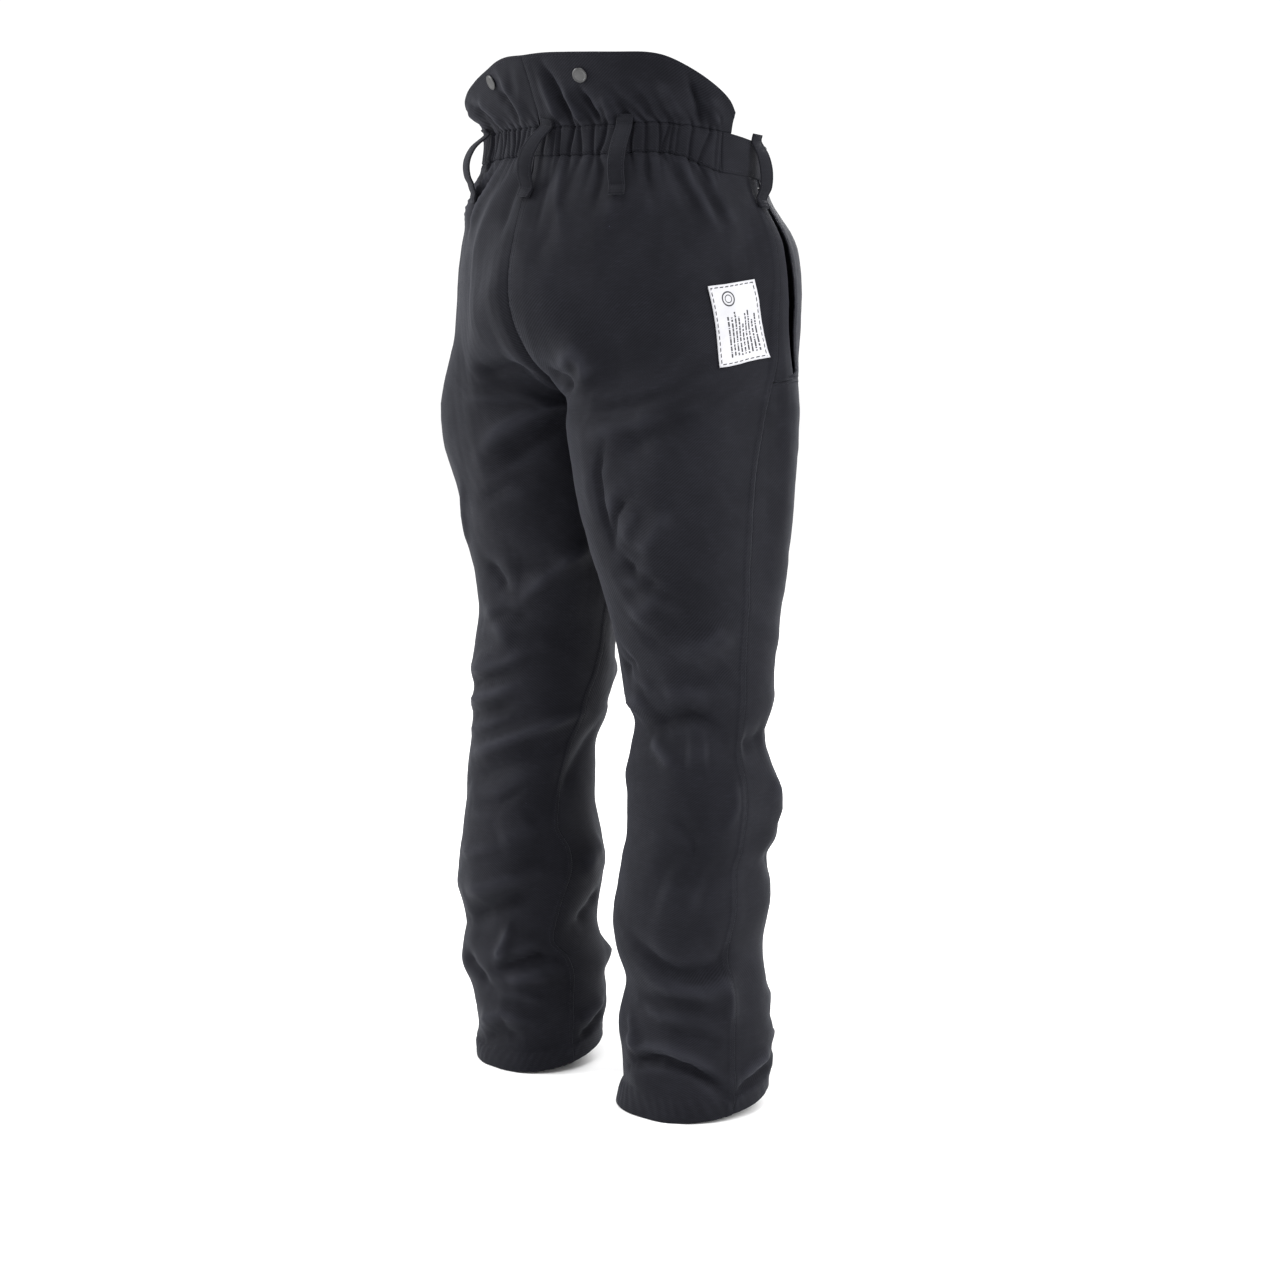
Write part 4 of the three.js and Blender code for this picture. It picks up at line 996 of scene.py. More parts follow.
def label_cloth():
    """White woven label: dashed border, a plain ring and lines of short dashes in place of print."""
    f = Finish("label_weave", (0.5, 0.5, 0.52), 0.6, sheen=0.1, specular=0.2)
    m = f.sum
    uv = f.uv()
    parts = f.node("ShaderNodeSeparateXYZ", uv)
    x, y = parts.outputs[0], parts.outputs[1]

    def product(first, *others):
        for other in others:
            first = m("MULTIPLY", first, other)
        return first

    def within(value, low, high):
        return product(m("GREATER_THAN", value, low), m("LESS_THAN", value, high))

    def line_at(value, place, half_width):
        return m("LESS_THAN", m("ABSOLUTE", m("SUBTRACT", value, place)), half_width)

    dx, dy = m("SUBTRACT", x, 8.0), m("SUBTRACT", y, 26.0)
    radius = m("SQRT", m("ADD", product(dx, dx), product(dy, dy)))
    rings = m("MAXIMUM", line_at(radius, 6.6, 0.7), line_at(radius, 3.6, 0.45))
    sides = m("SUBTRACT", LABEL_W / 2, m("ABSOLUTE", x))
    edge = m("MINIMUM", sides, m("SUBTRACT", LABEL_L / 2, m("ABSOLUTE", y)))
    dashes = m("LESS_THAN", m("FRACT", m("DIVIDE", m("ADD", x, y), 6.0)), 0.66)
    border = product(line_at(edge, 2.6, 0.55), dashes)
    # rows of print run along the label's length; each row is cut into words and ends where it likes
    row = m("DIVIDE", m("ADD", x, 20.0), 4.0)
    number = m("FLOOR", row)
    cell = f.node("ShaderNodeCombineXYZ", number, m("DIVIDE", y, 1.9)).outputs[0]
    words = m("GREATER_THAN", f.noise(cell, 1.0, 2.0), 0.45)
    length = f.node("ShaderNodeTexWhiteNoise", settings={"noise_dimensions": "1D"}, W=number).outputs[0]
    text = product(m("LESS_THAN", m("FRACT", row), 0.46), words)
    text = product(text, product(within(x, -20.0, 16.0), within(y, -32.0, 15.0)))
    text = product(text, m("LESS_THAN", y, m("MULTIPLY", length, 14.0)))
    ink = m("MAXIMUM", m("MAXIMUM", border, text), rings)
    yarn = f.wave(uv, 0.9, 0.5)
    white = f.mix((0.45, 0.45, 0.47), (0.55, 0.55, 0.575), yarn)
    white = f.mix(white, (0.4, 0.4, 0.42), f.ramp(f.noise(uv, 0.06, 3.0), 0.45, 0.8, 0.0, 0.45))
    f.feed(f.into["Base Color"], f.mix(white, (0.012, 0.012, 0.015), product(ink, 0.95)))
    f.feed(f.into["Roughness"], f.ramp(yarn, 0, 1, 0.66, 0.52))
    f.raise_by(yarn, 0.08, 0.4)


twill("shell_twill", INK_BLUE)
twill("binding_twill", BINDING_BLUE, wale=1.4)
twill("lining_weave", LINING_GREY, wale=0.7, rough=0.6, sheen=0.15, angle=0.0, bump_mm=0.05)
twill("padding_knit", PADDING_CREAM, wale=2.4, rough=0.9, sheen=0.2, angle=1.5708, bump_mm=0.4)
twill("elastic_rib", ELASTIC_BLACK, wale=2.0, rough=0.8, angle=1.5708, bump_mm=0.3)
grainy("thread", (0.0095, 0.0098, 0.0138), 0.65, 2600.0, specular=0.12, sheen=0.06, bump_mm=0.05)
grainy("snap_metal", (0.075, 0.075, 0.076), 0.36, 900.0, metal=1.0, bump_mm=0.01, stretch=(1, 1, 6))
grainy("zip_black", (0.012, 0.012, 0.014), 0.5, 1500.0, specular=0.45)
label_cloth()

# ------------------------------------------------------------------ leg and seat panels
ROWS = np.concatenate([
    [HEM_Z, HEM_Z + 1], np.arange(HEM_Z + 4, CROTCH_Z - 6, 4.0), np.arange(CROTCH_Z - 4, CROTCH_Z + 5, 2.0),
    np.arange(CROTCH_Z + 8, -8, 4.0), [-7, -5, -3, -1.5, -0.3]])[:, None]
SEAM_ROWS = (1.8, 5.6)          # the two stitch rows of a felled seam, mm from its edge
MOUTH_ROWS = (2.2, 8.0)         # and of the pocket mouth


def inseam(side, v):
    table = INSEAM[side]
    return along(table, np.clip(v, table[0, 0], table[-1, 0]), 1) * (1 - smooth(v, -260, -230))


def edge_gap(v):
    return np.where(v < CROTCH_Z, 0.1 / 430, 0.05 / 1100)


def in_mouth(v):
    return smooth(v, POCKET_BOTTOM, POCKET_BOTTOM + 7)


def mouth_lift(t, v):
    """Depth of the front edge of the pocket mouth, which stands off the hip, mm."""
    gape = bump(v, POCKET_BOTTOM - 6, -16)
    return -MOUTH_LIFT * gape * (1 - smooth(t, mouth_t(v) - 0.01, mouth_t(v) + 0.15))


def front_edge(side, v):
    """The front panel ends at the inside leg seam below, and beside the zip above."""
    x = 0.05 + (FLY_HALF - 0.05) * smooth(v, FLY_BOTTOM, FLY_BOTTOM + 9)
    return np.where(v < CROTCH_Z + RISE_FRONT * 0.45, 1 + inseam(side, v) - edge_gap(v), front_t(x, v))


def front_side(v):
    return outseam(v) + edge_gap(v) + (mouth_t(v) - outseam(v)) * in_mouth(v)


def groove(distance, rows, width=0.7, depth=0.35):
    """Dents that stitch rows pull into the cloth beside an edge, mm."""
    return depth * sum(ridge(distance - row, width) for row in rows)


def seam_relief(distance, width=7.0, height=0.9):
    """Felled seam beside an edge: a raised band with a groove where it is stitched."""
    band = height * (smooth(distance, -0.4, 0.8) - smooth(distance, width - 0.5, width + 1.5))
    return band - groove(distance, SEAM_ROWS)


def hem_relief(s, v):
    """The turned-up hem is a little thicker, with puckers pulled by its stitching."""
    up = v - HEM_Z
    puckers = 0.35 * np.sin(s * 0.62 + up * 0.35 + 1.5 * np.sin(s * 0.09))
    puckers = puckers * smooth(up, -2, 8) * (1 - smooth(up, 20, 30))
    step = 0.8 * (1 - smooth(up, HEM_TURN - 0.6, HEM_TURN + 1.6))
    return step + puckers - 0.5 * ridge(up - HEM_TURN + 2, 1.1)


def pucker(v, phase=0.0):
    return 0.22 * np.sin(v * 0.62 + 2 * np.sin(v * 0.045) + phase)


def panel_grid(start, stop, columns):
    """Places over a panel between two edges, round from t = 0, and from its first and last edge, mm."""
    t = start + (stop - start) * spread(columns, 235)
    v = under_band(t, ROWS)
    s, _ = arc(t, v)
    return t, v, s, s - arc(start + 0 * t, v)[0], arc(stop + 0 * t, v)[0] - s


def back_panel(side):
    start = np.where(ROWS < CROTCH_Z, inseam(side, ROWS) + edge_gap(ROWS), 0)
    t, v, s, inner, outer = panel_grid(start, outseam(ROWS) - edge_gap(ROWS), 118)
    detail = seam_relief(outer) + pucker(v) * np.exp(-outer / 9)
    detail = detail + np.where(v < CROTCH_Z, 0.8, 0) * (smooth(inner, -0.4, 0.8) - smooth(inner, 5.5, 7.5))
    seat = smooth(v, CROTCH_Z, CROTCH_Z + 12)
    if side == "right":
        detail = detail + seat * seam_relief(inner, 8.0, 0.45)
    detail = detail - seat * 0.4 * ridge(inner, 1.2) + pucker(v, 1.0) * np.exp(-inner / 9)
    detail = detail + hem_relief(s, v) + ruffle(side, t, v)
    cloth(f"back_panel_{side}", side, t, v, -detail, CLOTH, "shell_twill",
          stands_for=(f"back_panel_{side}", f"back_leg_{side}"))


def front_panel(side):
    t, v, s, outer, _ = panel_grid(front_side(ROWS), front_edge(side, ROWS), 58)
    detail = pucker(v) * np.exp(-outer / 9) - 0.25 * ridge(outer, 1.5) + hem_relief(s, v)
    detail = detail + in_mouth(v) * (0.7 * (1 - smooth(outer, 8.5, 10.5)) - groove(outer, MOUTH_ROWS))
    detail = detail - 0.7 * ridge(v - band_low(t) + 1.0, math.sqrt(5.0))
    cloth(f"front_panel_{side}", side, t, v, mouth_lift(t, v) - detail, CLOTH, "shell_twill",
          stands_for=(f"front_panel_{side}", f"front_leg_{side}"))


def panel_stitches(side):
    sew_beside(side, f"outseam_{side}", HEM_Z + 3, POCKET_BOTTOM - 2, outseam, [-row for row in SEAM_ROWS],
               lambda t, v: -(0.55 + pucker(v)))
    sew_beside(side, f"inseam_{side}", HEM_Z + 3, CROTCH_Z - 3, lambda v: inseam(side, v), [5.0],
               lambda t, v: -0.8)
    t = np.linspace(0, 1, 420)
    v = np.full(t.shape, HEM_Z + HEM_TURN - 2)
    sew(side, f"hem_{side}", t, v, -hem_relief(arc(t, v)[0], v))
    # pocket mouth: two rows along its front edge, and a bar across its lower end
    sew_beside(side, f"pocket_{side}", POCKET_BOTTOM + 8, -6, mouth_t, MOUTH_ROWS,
               lambda t, v: mouth_lift(t, v) - 0.4)
    for level in (POCKET_BOTTOM - 1.5, POCKET_BOTTOM + 3.5):
        t = np.linspace(outseam(level) + 0.006, mouth_t(level) + 0.03, 60)
        sew(side, f"pocket_{side}", t, level, mouth_lift(t, level) - 0.25, length=1.5, gap=0.4)
    if side == "right":
        sew_beside(side, "seat_seam", CROTCH_Z + 14, -4, lambda v: 0, (2.0, 5.6), lambda t, v: -0.25)
    else:
        sew_beside(side, "front_seam", CROTCH_Z + 40, FLY_BOTTOM, lambda v: 1, [-2.0], lambda t, v: -0.2)


for side in SIDES:
    back_panel(side)
    front_panel(side)
    panel_stitches(side)

# ------------------------------------------------------------------ pockets
BAG_START, BAG_SPAN = 0.56, 0.235       # the pocket bag's place round the side, in t
FACING_REACH = 0.05                     # how far the facing runs behind the mouth, in t
UNDER_SHELL = CLOTH + 0.6 + 1.6         # depth of the layers behind the outer cloth, mm


def facing_depth(t, v):
    past = t - mouth_t(v)
    deep = smooth(past, -0.008, 0.05) * smooth(v, POCKET_BOTTOM, POCKET_BOTTOM + 40)
    return 3.2 * smooth(past, -0.016, 0.006) + (POUCH - 4) * deep


def facing_cover(t, v):
    """Depth that clears the facing and fades out towards the front."""
    facing = facing_depth(np.minimum(t, mouth_t(v) + FACING_REACH), np.maximum(v, POCKET_BOTTOM + 9))
    fade = 1 - smooth((t - mouth_t(v) - 0.09) / (0.69 - mouth_t(v)), 0, 1)
    foot = 1.6 * bump(v, POCKET_BOTTOM - 50, POCKET_BOTTOM + 50) * (1 - smooth(t, 0.6, 0.68))
    return facing * fade + UNDER_SHELL + foot


def bag_depth(t, v):
    u = (t - BAG_START) / BAG_SPAN
    inside = smooth(u, 0, 0.22) * (1 - smooth(u, 0.78, 1))
    return np.maximum(UNDER_SHELL + POUCH * inside * smooth(v, -262, -222), facing_cover(t, v))


for side in SIDES:
    v = np.linspace(POCKET_BOTTOM + 1.5, -0.5, 48)[:, None]
    start = outseam(v) + edge_gap(v)
    t = start + (mouth_t(v) + FACING_REACH - start) * np.linspace(0, 1, 22)
    v = under_band(t, v)
    cloth(f"pocket_facing_{side}", side, t, v, facing_depth(t, v) + 0.3, 1.0, "shell_twill")
    t = BAG_START + BAG_SPAN * np.linspace(0, 1, 32)
    v = under_band(t, np.linspace(-262, -6, 54)[:, None])
    cloth(f"pocket_bag_{side}", side, t, v, bag_depth(t, v) + 0.2, 0.6, "lining_weave")


# ------------------------------------------------------------------ saw guards, linings and hem turn-ups
GUARD_THICK = 5.2


def pocket_room(t, v):
    return (POUCH + 3.4) * smooth(t, 0.5, 0.56) * (1 - smooth(t, 0.8, 0.87)) * smooth(v, -300, -250)


def guard_inner(v):
    return np.where(v < CROTCH_Z + 8, 0.985, front_t(5 + 16 * smooth(v, FLY_BOTTOM - 26, FLY_BOTTOM), v))


for side in SIDES:
    leg, seat = np.linspace(GUARD_BOTTOM, CROTCH_Z - 4, 96), np.linspace(CROTCH_Z + 5, GUARD_TOP, 26)
    v = np.concatenate([leg, seat])[:, None]
    start = outseam(v) + 0.012
    t = start + (guard_inner(v) - start) * np.linspace(0, 1, 34)
    quilt = 0.7 * np.abs(np.sin(np.pi * arc(t, v)[0] / 36)) ** 0.5 * np.abs(np.sin(np.pi * v / 120)) ** 0.25
    depth = UNDER_SHELL + pocket_room(t, v)
    guard = cloth(f"saw_guard_{side}", side, t, v, depth + 0.7 - quilt, GUARD_THICK, "padding_knit")
    cloth(f"guard_lining_{side}", side, t, v, depth + GUARD_THICK + 1.7 - 0.5 * quilt, 0.8, "lining_weave")
    v = np.linspace(HEM_Z + 1, HEM_Z + 1 + HEM_TURN, 8)[:, None]
    cloth(f"hem_cuff_{side}", side, np.arange(120) / 120, v, 2.0, 0.9, "shell_twill", ring=True)


# ------------------------------------------------------------------ waist
def between_seams(t, share):
    """Rows of the waistband: shares of its height at each place."""
    low = band_low(np.abs(t))
    return low + (BAND_H - low) * np.asarray(share, float)[:, None]


line = np.linspace(-CASING_END, CASING_END, 521)
casing_rows = [0, 0.04, 0.08, 0.14, 0.22, 0.32, 0.42, 0.52, 0.62, 0.72, 0.81, 0.88, 0.93, 0.97, 1.0]
across("waist_casing", line, between_seams(line, casing_rows), -0.5, 1.1, "shell_twill", pleat=ruffle)
t = np.linspace(0.001, CASING_END - 0.002, 700)
for v in (band_low(t) + 2.6, np.full(t.shape, BAND_H - 2.6)):
    for side in SIDES:
        sew(side, "casing", t, v, -(0.55 + ruffle(side, t, v)), length=2.2, gap=1.0)
line = np.linspace(0.012 - CASING_END, CASING_END - 0.012, 121)
across("waist_elastic", line, between_seams(line, np.linspace(0.12, 0.88, 7)), 4.4, 1.0, "elastic_rib")
line = np.linspace(-CASING_END, CASING_END, 161)
v = between_seams(line, np.linspace(-0.1, 0.99, 10))
across("casing_lining", line, v, 6.2 + 0.35 * np.sin(line * 320), 0.8, "lining_weave")

BAND_ROW = 3.0              # stitches of the front waistband, mm from its edges
for side in SIDES:
    share = np.array([0, 0.03, 0.07, 0.12, 0.2, 0.32, 0.45, 0.58, 0.7, 0.82, 0.89, 0.94, 0.97, 1.0])[:, None]
    t = np.linspace(CASING_END + 0.001, float(front_t(1.0, BAND_H / 2)), 70)
    v = band_low(t) + (band_top(t) - band_low(t)) * share
    below, above = v - band_low(t), band_top(t) - v
    dent = groove(below, [BAND_ROW], 1.0, 0.5) + groove(above, [BAND_ROW], 1.0, 0.5) + 0.7 * ridge(below, 1.2)
    cloth(f"front_waistband_{side}", side, t, v, dent - 0.9, 1.5, "shell_twill")
    cloth(f"front_band_facing_{side}", side, t, v, 2.3, 0.9, "lining_weave")
    t = np.linspace(CASING_END + 0.004, float(front_t(3.0, BAND_H / 2)), 500)
    for v in (band_low(t) + BAND_ROW, band_top(t) - BAND_ROW):
        sew(side, "front_band", t, v, -0.5)

# ------------------------------------------------------------------ high back
# How far its top stands above the waistband, round from the centre; the left half has slumped.
BACK_TOP = {
    "left": np.array([
        [0, 67], [0.06, 66], [0.125, 59], [0.18, 53], [0.25, 43], [0.32, 29], [0.4, 15], [TOP_END, 6]]),
    "right": np.array([
        [0, 67], [0.06, 68.5], [0.125, 68], [0.2, 66], [0.29, 63], [0.35, 54], [0.41, 41], [0.45, 30],
        [TOP_END, 20]]),
}
BACK_ROW = 3.2              # its stitches, mm from the top edge


def back_top(side, t):
    return BAND_H + along(BACK_TOP[side], t, 1)


for side in SIDES:
    t = np.concatenate([[0, 0.0018, 0.004, 0.007, 0.011], np.linspace(0.016, TOP_END, 150)])[None, :]
    share = np.concatenate([np.linspace(0, 0.14, 9), np.linspace(0.17, 0.9, 18), [0.935, 0.96, 0.98, 1.0]])
    v = BAND_H - 3 + (back_top(side, t) - BAND_H + 3) * share[:, None]
    s, _ = arc(t, v)
    below_top = back_top(side, t) - v
    detail = ruffle(side, t, v) - 1.4 * (1 - smooth(v, BAND_H - 1.5, BAND_H + 1.2)) - 0.5 * ridge(s, 1.5)
    detail = detail + 0.6 * (1 - smooth(below_top, 5.0, 7.0)) - groove(below_top, [BACK_ROW], 0.8)
    if side == "right":
        detail = detail + seam_relief(s, 8.0, 0.6)
    fade = np.maximum(smooth(below_top, -4, 14), 1 - smooth(v, BAND_H, BAND_H + 6))
    cloth(f"high_back_{side}", side, t, v, -detail * (0.3 + 0.7 * fade), 1.2, "shell_twill")
    t = np.linspace(0.001, TOP_END - 0.004, 600)
    sew(side, "high_back", t, back_top(side, t) - BACK_ROW, -0.25)
v = np.arange(BAND_H + 3, float(back_top("right", 0.0)) - 3, 1.0)
sew("right", "high_back", 6.0 / BACK_GIRTH, v, -0.35)
line = np.linspace(-TOP_END, TOP_END, 161)
top = np.where(line < 0, back_top("right", np.abs(line)), back_top("left", np.abs(line)))
v = BAND_H + 1 + (top - BAND_H - 2.0) * np.linspace(0, 1, 14)[:, None]
across("high_back_facing", line, v, 2.6, 0.9, "lining_weave")

# ------------------------------------------------------------------ belt loops
LOOP_W, LOOP_T = 16.0, 1.8
LOOP_ROW = 2.2              # stitch rows, mm from each long edge
LOOP_TOP, LOOP_DROP = 54, 74
# Place, side, t, sideways run (mm), twist, bulge (mm) and how far below its seam it hangs (mm).
LOOPS = [
    ("centre", None, 0.0, 12.0, -0.35, 13.0, 2.0),
    ("back", "left", 0.2, 0.0, -0.12, 13.0, 2.0), ("back", "right", 0.205, 1.0, -0.1, 13.0, 2.5),
    ("side", "left", 0.572, 0.0, -0.12, 13.0, 2.0), ("side", "right", 0.558, -8.0, 0.35, 6.0, 5.0),
    ("front", "left", 0.82, 0.0, 0.1, 13.0, 0.0), ("front", "right", 0.82, 0.0, 0.1, 13.0, 0.0)]


def strap_profile(w, th):
    """Cross-section of a folded strap: rounded edges, slightly proud beside its two stitch rows."""
    half = [(0.0, 0.35), (0.5, 0.9), (1.4, 1.0), (LOOP_ROW, 0.86), (3.1, 1.02)]
    left = [(x - w / 2, y * th) for x, y in half]
    return (left + [(0, th * 1.04)] + [(-x, y) for x, y in reversed(left)]
            + [(w / 2 - 0.4, 0.0), (0, 0.0), (0.4 - w / 2, 0.0)])


def belt_loop(name, side, t0, lean, twist, bulge, low):
    """A strap sewn above and below the waistband."""
    k = np.linspace(0, 1, 44)
    v = LOOP_TOP - low - LOOP_DROP * k
    if side:
        out = out_of(side, np.array([t0]), np.array([BAND_H / 2]))[0] * np.array([1, 1, 0])
        out /= np.linalg.norm(out)
        base = at(side, t0 + lean * (k - 0.5) / BACK_GIRTH, v)
    else:
        out = np.array([0.0, 1.0, 0.0])
        base = at("left", 1e-6, v)
        base[:, 0] = lean * (k - 0.5) - 8
    reach = (base * out).sum(-1)
    chord = np.interp(k, [0, 1], [reach[0], reach[-1]])
    height = reach + (chord - reach) * smooth(k, 0.04, 0.3) * (1 - smooth(k, 0.7, 0.95))
    height = height + 2.0 + bulge * np.sin(np.pi * np.clip((k - 0.1) / 0.8, 0, 1)) ** 1.15
    centre = base + out * (height - reach)[:, None]
    centre[:, 2] = base[:, 2] + 1.5 * np.sin(np.pi * k)
    forward = np.gradient(centre, axis=0)
    forward /= np.linalg.norm(forward, axis=1, keepdims=True)
    roll = twist * np.sin(np.pi * k)[:, None]
    sideways = np.cross([0, 0, 1], out) * np.cos(roll) + out * np.sin(roll)
    sideways -= forward * (sideways * forward).sum(-1, keepdims=True)
    sideways /= np.linalg.norm(sideways, axis=1, keepdims=True)
    up = np.cross(sideways, forward)
    up *= np.sign((up * out).sum(-1, keepdims=True))
    # both ends are folded under, so the strap is thicker there
    thick = 1.0 + 0.7 * (1 - smooth(k, 0, 0.09)) + 0.7 * smooth(k, 0.88, 0.93)
    profile = np.array(strap_profile(LOOP_W, LOOP_T))
    x, y = profile[:, 0, None], profile[:, 1, None]
    points = centre[:, None] + sideways[:, None] * x + up[:, None] * y * thick[:, None, None]
    run = np.concatenate([[0], np.cumsum(np.linalg.norm(np.diff(centre, axis=0), axis=1))])
    uv = np.stack(np.broadcast_arrays(profile[:, 0], run[:, None]), -1) * MM
    n, m = len(k), len(profile)
    faces = []
    for i in range(n - 1):
        for j in range(m):
            a, b = i * m + j, i * m + (j + 1) % m
            faces.append((a, b, b + m, a + m))
    faces.append(tuple(reversed(range(m))))
    faces.append(tuple(range((n - 1) * m, n * m)))
    facing = np.cross(points[0, 1] - points[0, 0], points[1, 0] - points[0, 0])
    if (facing * (points[0, 1] - centre[0] - up[0] * 0.5)).sum() < 0:
        faces = flip(faces)
    mesh_piece(name, points, faces, "binding_twill", uv=uv, wear=np.full(n * m, 0.06))
    for x in (LOOP_ROW - LOOP_W / 2, LOOP_W / 2 - LOOP_ROW):
        stitch_row("loops", centre + sideways * x + up * (LOOP_T * 0.9), up, length=2.2, gap=0.9)
    bar = np.linspace(-LOOP_W / 2 + 1.6, LOOP_W / 2 - 1.6, 12)[:, None]
    for share in (0.905, 0.975, 0.03, 0.1):
        i = int(share * (n - 1))
        stitch_row("loops", centre[i] + sideways[i] * bar + up[i] * (LOOP_T * 1.02 * thick[i]),
                   np.tile(up[i], (12, 1)), length=1.7, gap=0.5)


for place, side, *shape in LOOPS:
    belt_loop(f"belt_loop_{place}_{side}" if side else f"belt_loop_{place}", side, *shape)

# ------------------------------------------------------------------ snap fasteners
# Radius and height of each turn of the pieces, mm.
CAP = [(0, 0), (CAP_R - 1.0, 0), (CAP_R - 0.35, 0.15), (CAP_R, 0.6), (CAP_R - 0.05, 0.95), (CAP_R - 0.3, 1.3),
       (CAP_R - 0.8, 1.55), (CAP_R - 1.3, 1.6), (CAP_R - 1.7, 1.45), (CAP_R - 2.0, 1.25), (CAP_R - 2.6, 1.3),
       (CAP_R * 0.45, 1.55), (CAP_R * 0.2, 1.66), (0, 1.7)]
STUD = [(0, 0), (5.8, 0), (6.0, 0.2), (6.0, 0.55), (5.6, 0.75), (3.3, 0.9), (2.8, 1.2), (2.6, 1.7),
        (3.0, 2.3), (3.1, 2.7), (2.8, 3.05), (2.3, 3.2), (0, 3.2)]
SMALL_STUD = [(0, 0), (4.8, 0), (5.0, 0.15), (5.0, 0.45), (4.6, 0.6), (2.6, 0.75), (2.4, 1.0), (2.3, 1.4),
              (0, 1.45)]
BRACE_SNAPS = [("back", 0.125, 92.0, 0.3, 4.9), ("front", 0.74, BAND_H / 2, 1.0, 4.3)]      # t, v, cap, stud


def lathe(name, profile, centre, axis, body="garment", steps=48):
    """A turned snap piece: profile of (radius, height) mm along the axis."""
    axis = axis / np.linalg.norm(axis)
    ref = np.array([0, 0, 1.0]) if abs(axis[2]) < 0.9 else np.array([1.0, 0, 0])
    e1 = np.cross(ref, axis)
    e1 /= np.linalg.norm(e1)
    e2 = np.cross(axis, e1)
    points, faces = [centre + axis * profile[0][1]], []
    for r, h in profile[1:-1]:
        for i in range(steps):
            a = 2 * math.pi * i / steps
            points.append(centre + axis * h + (e1 * math.cos(a) + e2 * math.sin(a)) * r)
    points.append(centre + axis * profile[-1][1])
    rings = len(profile) - 2
    top = 1 + (rings - 1) * steps
    for i in range(steps):
        faces.append((0, 1 + (i + 1) % steps, 1 + i))
        faces.append((len(points) - 1, top + i, top + (i + 1) % steps))
    for r in range(rings - 1):
        for i in range(steps):
            a, b = 1 + r * steps + i, 1 + r * steps + (i + 1) % steps
            faces.append((a, b, b + steps, a + steps))
    mesh_piece(name, points, faces, "snap_metal", body)


for side in SIDES:
    for place, t0, v0, proud, depth in BRACE_SNAPS:
        out = out_of(side, [t0], [v0])[0]
        centre = at(side, [t0], [v0])[0]
        lathe(f"brace_cap_{place}_{side}", CAP, centre + out * proud, out)
        lathe(f"brace_stud_{place}_{side}", STUD, centre - out * depth, -out)

# ------------------------------------------------------------------ fly
TAB_LOW, TAB_HIGH, TAB_END, SNAP_X = 8.0, 40.0, -38.0, 25.0
TAB_MIDDLE = (TAB_LOW + TAB_HIGH) / 2
FLAP_ROW = 5.0              # stitches of the flap, mm from its free edge
TAB_ROW = 3.0               # and of the tab
J_ROWS = (34.5, 38.5)       # the curved rows that hold the flap to the left front, mm from the middle


def on_front(x, v, out):
    """Points x mm from the middle of the front, x > 0 on the wearer's left, and their t."""
    x, v, out = grids(x, v, out)
    t = front_t(np.abs(x), v)
    p = at("left", t, v, out, 0 * t)
    p[..., 0] = np.where(x < 0, -1, 1) * np.abs(p[..., 0])
    return p, t


def over_front(name, x, v, out, thick):
    """A sheet across the fly that opens with the flap."""
    x, v, out = grids(x, v, out)
    uv = np.stack([x, v], -1) * MM
    sheet_piece(name, on_front(x, v, out)[0], on_front(x, v, out + thick)[0], "shell_twill", uv, wear=0.03,
                flipped=True, body="fly")


def sew_front(group, x, v, out):
    x, v = grids(x, v)
    p, t = on_front(x, v, out)
    stitch_row(group, p, out_of("left", t, v))


def flap_edge(v):
    return FLAP_EDGE_X + 10 * (1 - smooth(v, FLY_BOTTOM - 6, FLY_BOTTOM + 14)) ** 2


v = np.linspace(FLY_BOTTOM - 6, 5, 46)[:, None]
share = np.concatenate([[0, 0.02, 0.05, 0.09], np.linspace(0.13, 0.93, 22), [0.97, 1.0]])
x = flap_edge(v) + (FLAP_HINGE_X - flap_edge(v)) * share
from_edge = x - flap_edge(v)
proud = 0.3 * (1 - smooth(from_edge, 6, 8)) - groove(from_edge, [FLAP_ROW], 0.8, 0.3)
wave = 0.3 * np.sin(v / 13) * np.exp(-from_edge / 12)
over_front("fly_flap", x, v, -3.5 - proud - wave, 1.3)
v = np.linspace(FLY_BOTTOM + 4, -4, 200)
sew_front("fly_flap", flap_edge(v) + FLAP_ROW, v, -3.7)
v = np.linspace(FLY_BOTTOM - 2, -4, 260)
for row in J_ROWS:
    x = 3 + (row - 3) * smooth(v, FLY_BOTTOM - 6, FLY_BOTTOM + 44) ** 0.6
    sew("left", "j_stitch", front_t(np.maximum(x, 0.5), v), v, -0.15)

share = np.array([0, 0.03, 0.07, 0.11, 0.2, 0.3, 0.4, 0.5, 0.6, 0.7, 0.8, 0.89, 0.93, 0.97, 1.0])[:, None]
v = TAB_LOW + 0.3 + (TAB_HIGH - TAB_LOW - 0.6) * share
round_end = 5 * (1 - np.sqrt(np.clip(1 - ((v - TAB_MIDDLE) / (TAB_MIDDLE - TAB_LOW)) ** 4, 0, 1)))
share = np.concatenate([[0, 0.02, 0.05], np.linspace(0.08, 0.95, 24), [1.0]])
x = TAB_END + round_end + (FLAP_HINGE_X - TAB_END - round_end) * share
from_side = np.minimum(v - TAB_LOW, TAB_HIGH - v)
over_front("waist_tab", x, v, groove(from_side, [TAB_ROW], 1.0, 0.5) - 4.6, 1.7)
for level in (TAB_LOW + TAB_ROW, TAB_HIGH - TAB_ROW):
    sew_front("waist_tab", np.linspace(TAB_END + 4, FLAP_HINGE_X - 2, 140), level, -4.75)
snap = front_t([SNAP_X], [TAB_MIDDLE]), [TAB_MIDDLE]
out = out_of("right", *snap)[0]
lathe("waist_snap_cap", CAP, at("right", *snap, -4.75, 0.0)[0] + out * 0.1, out, "fly")
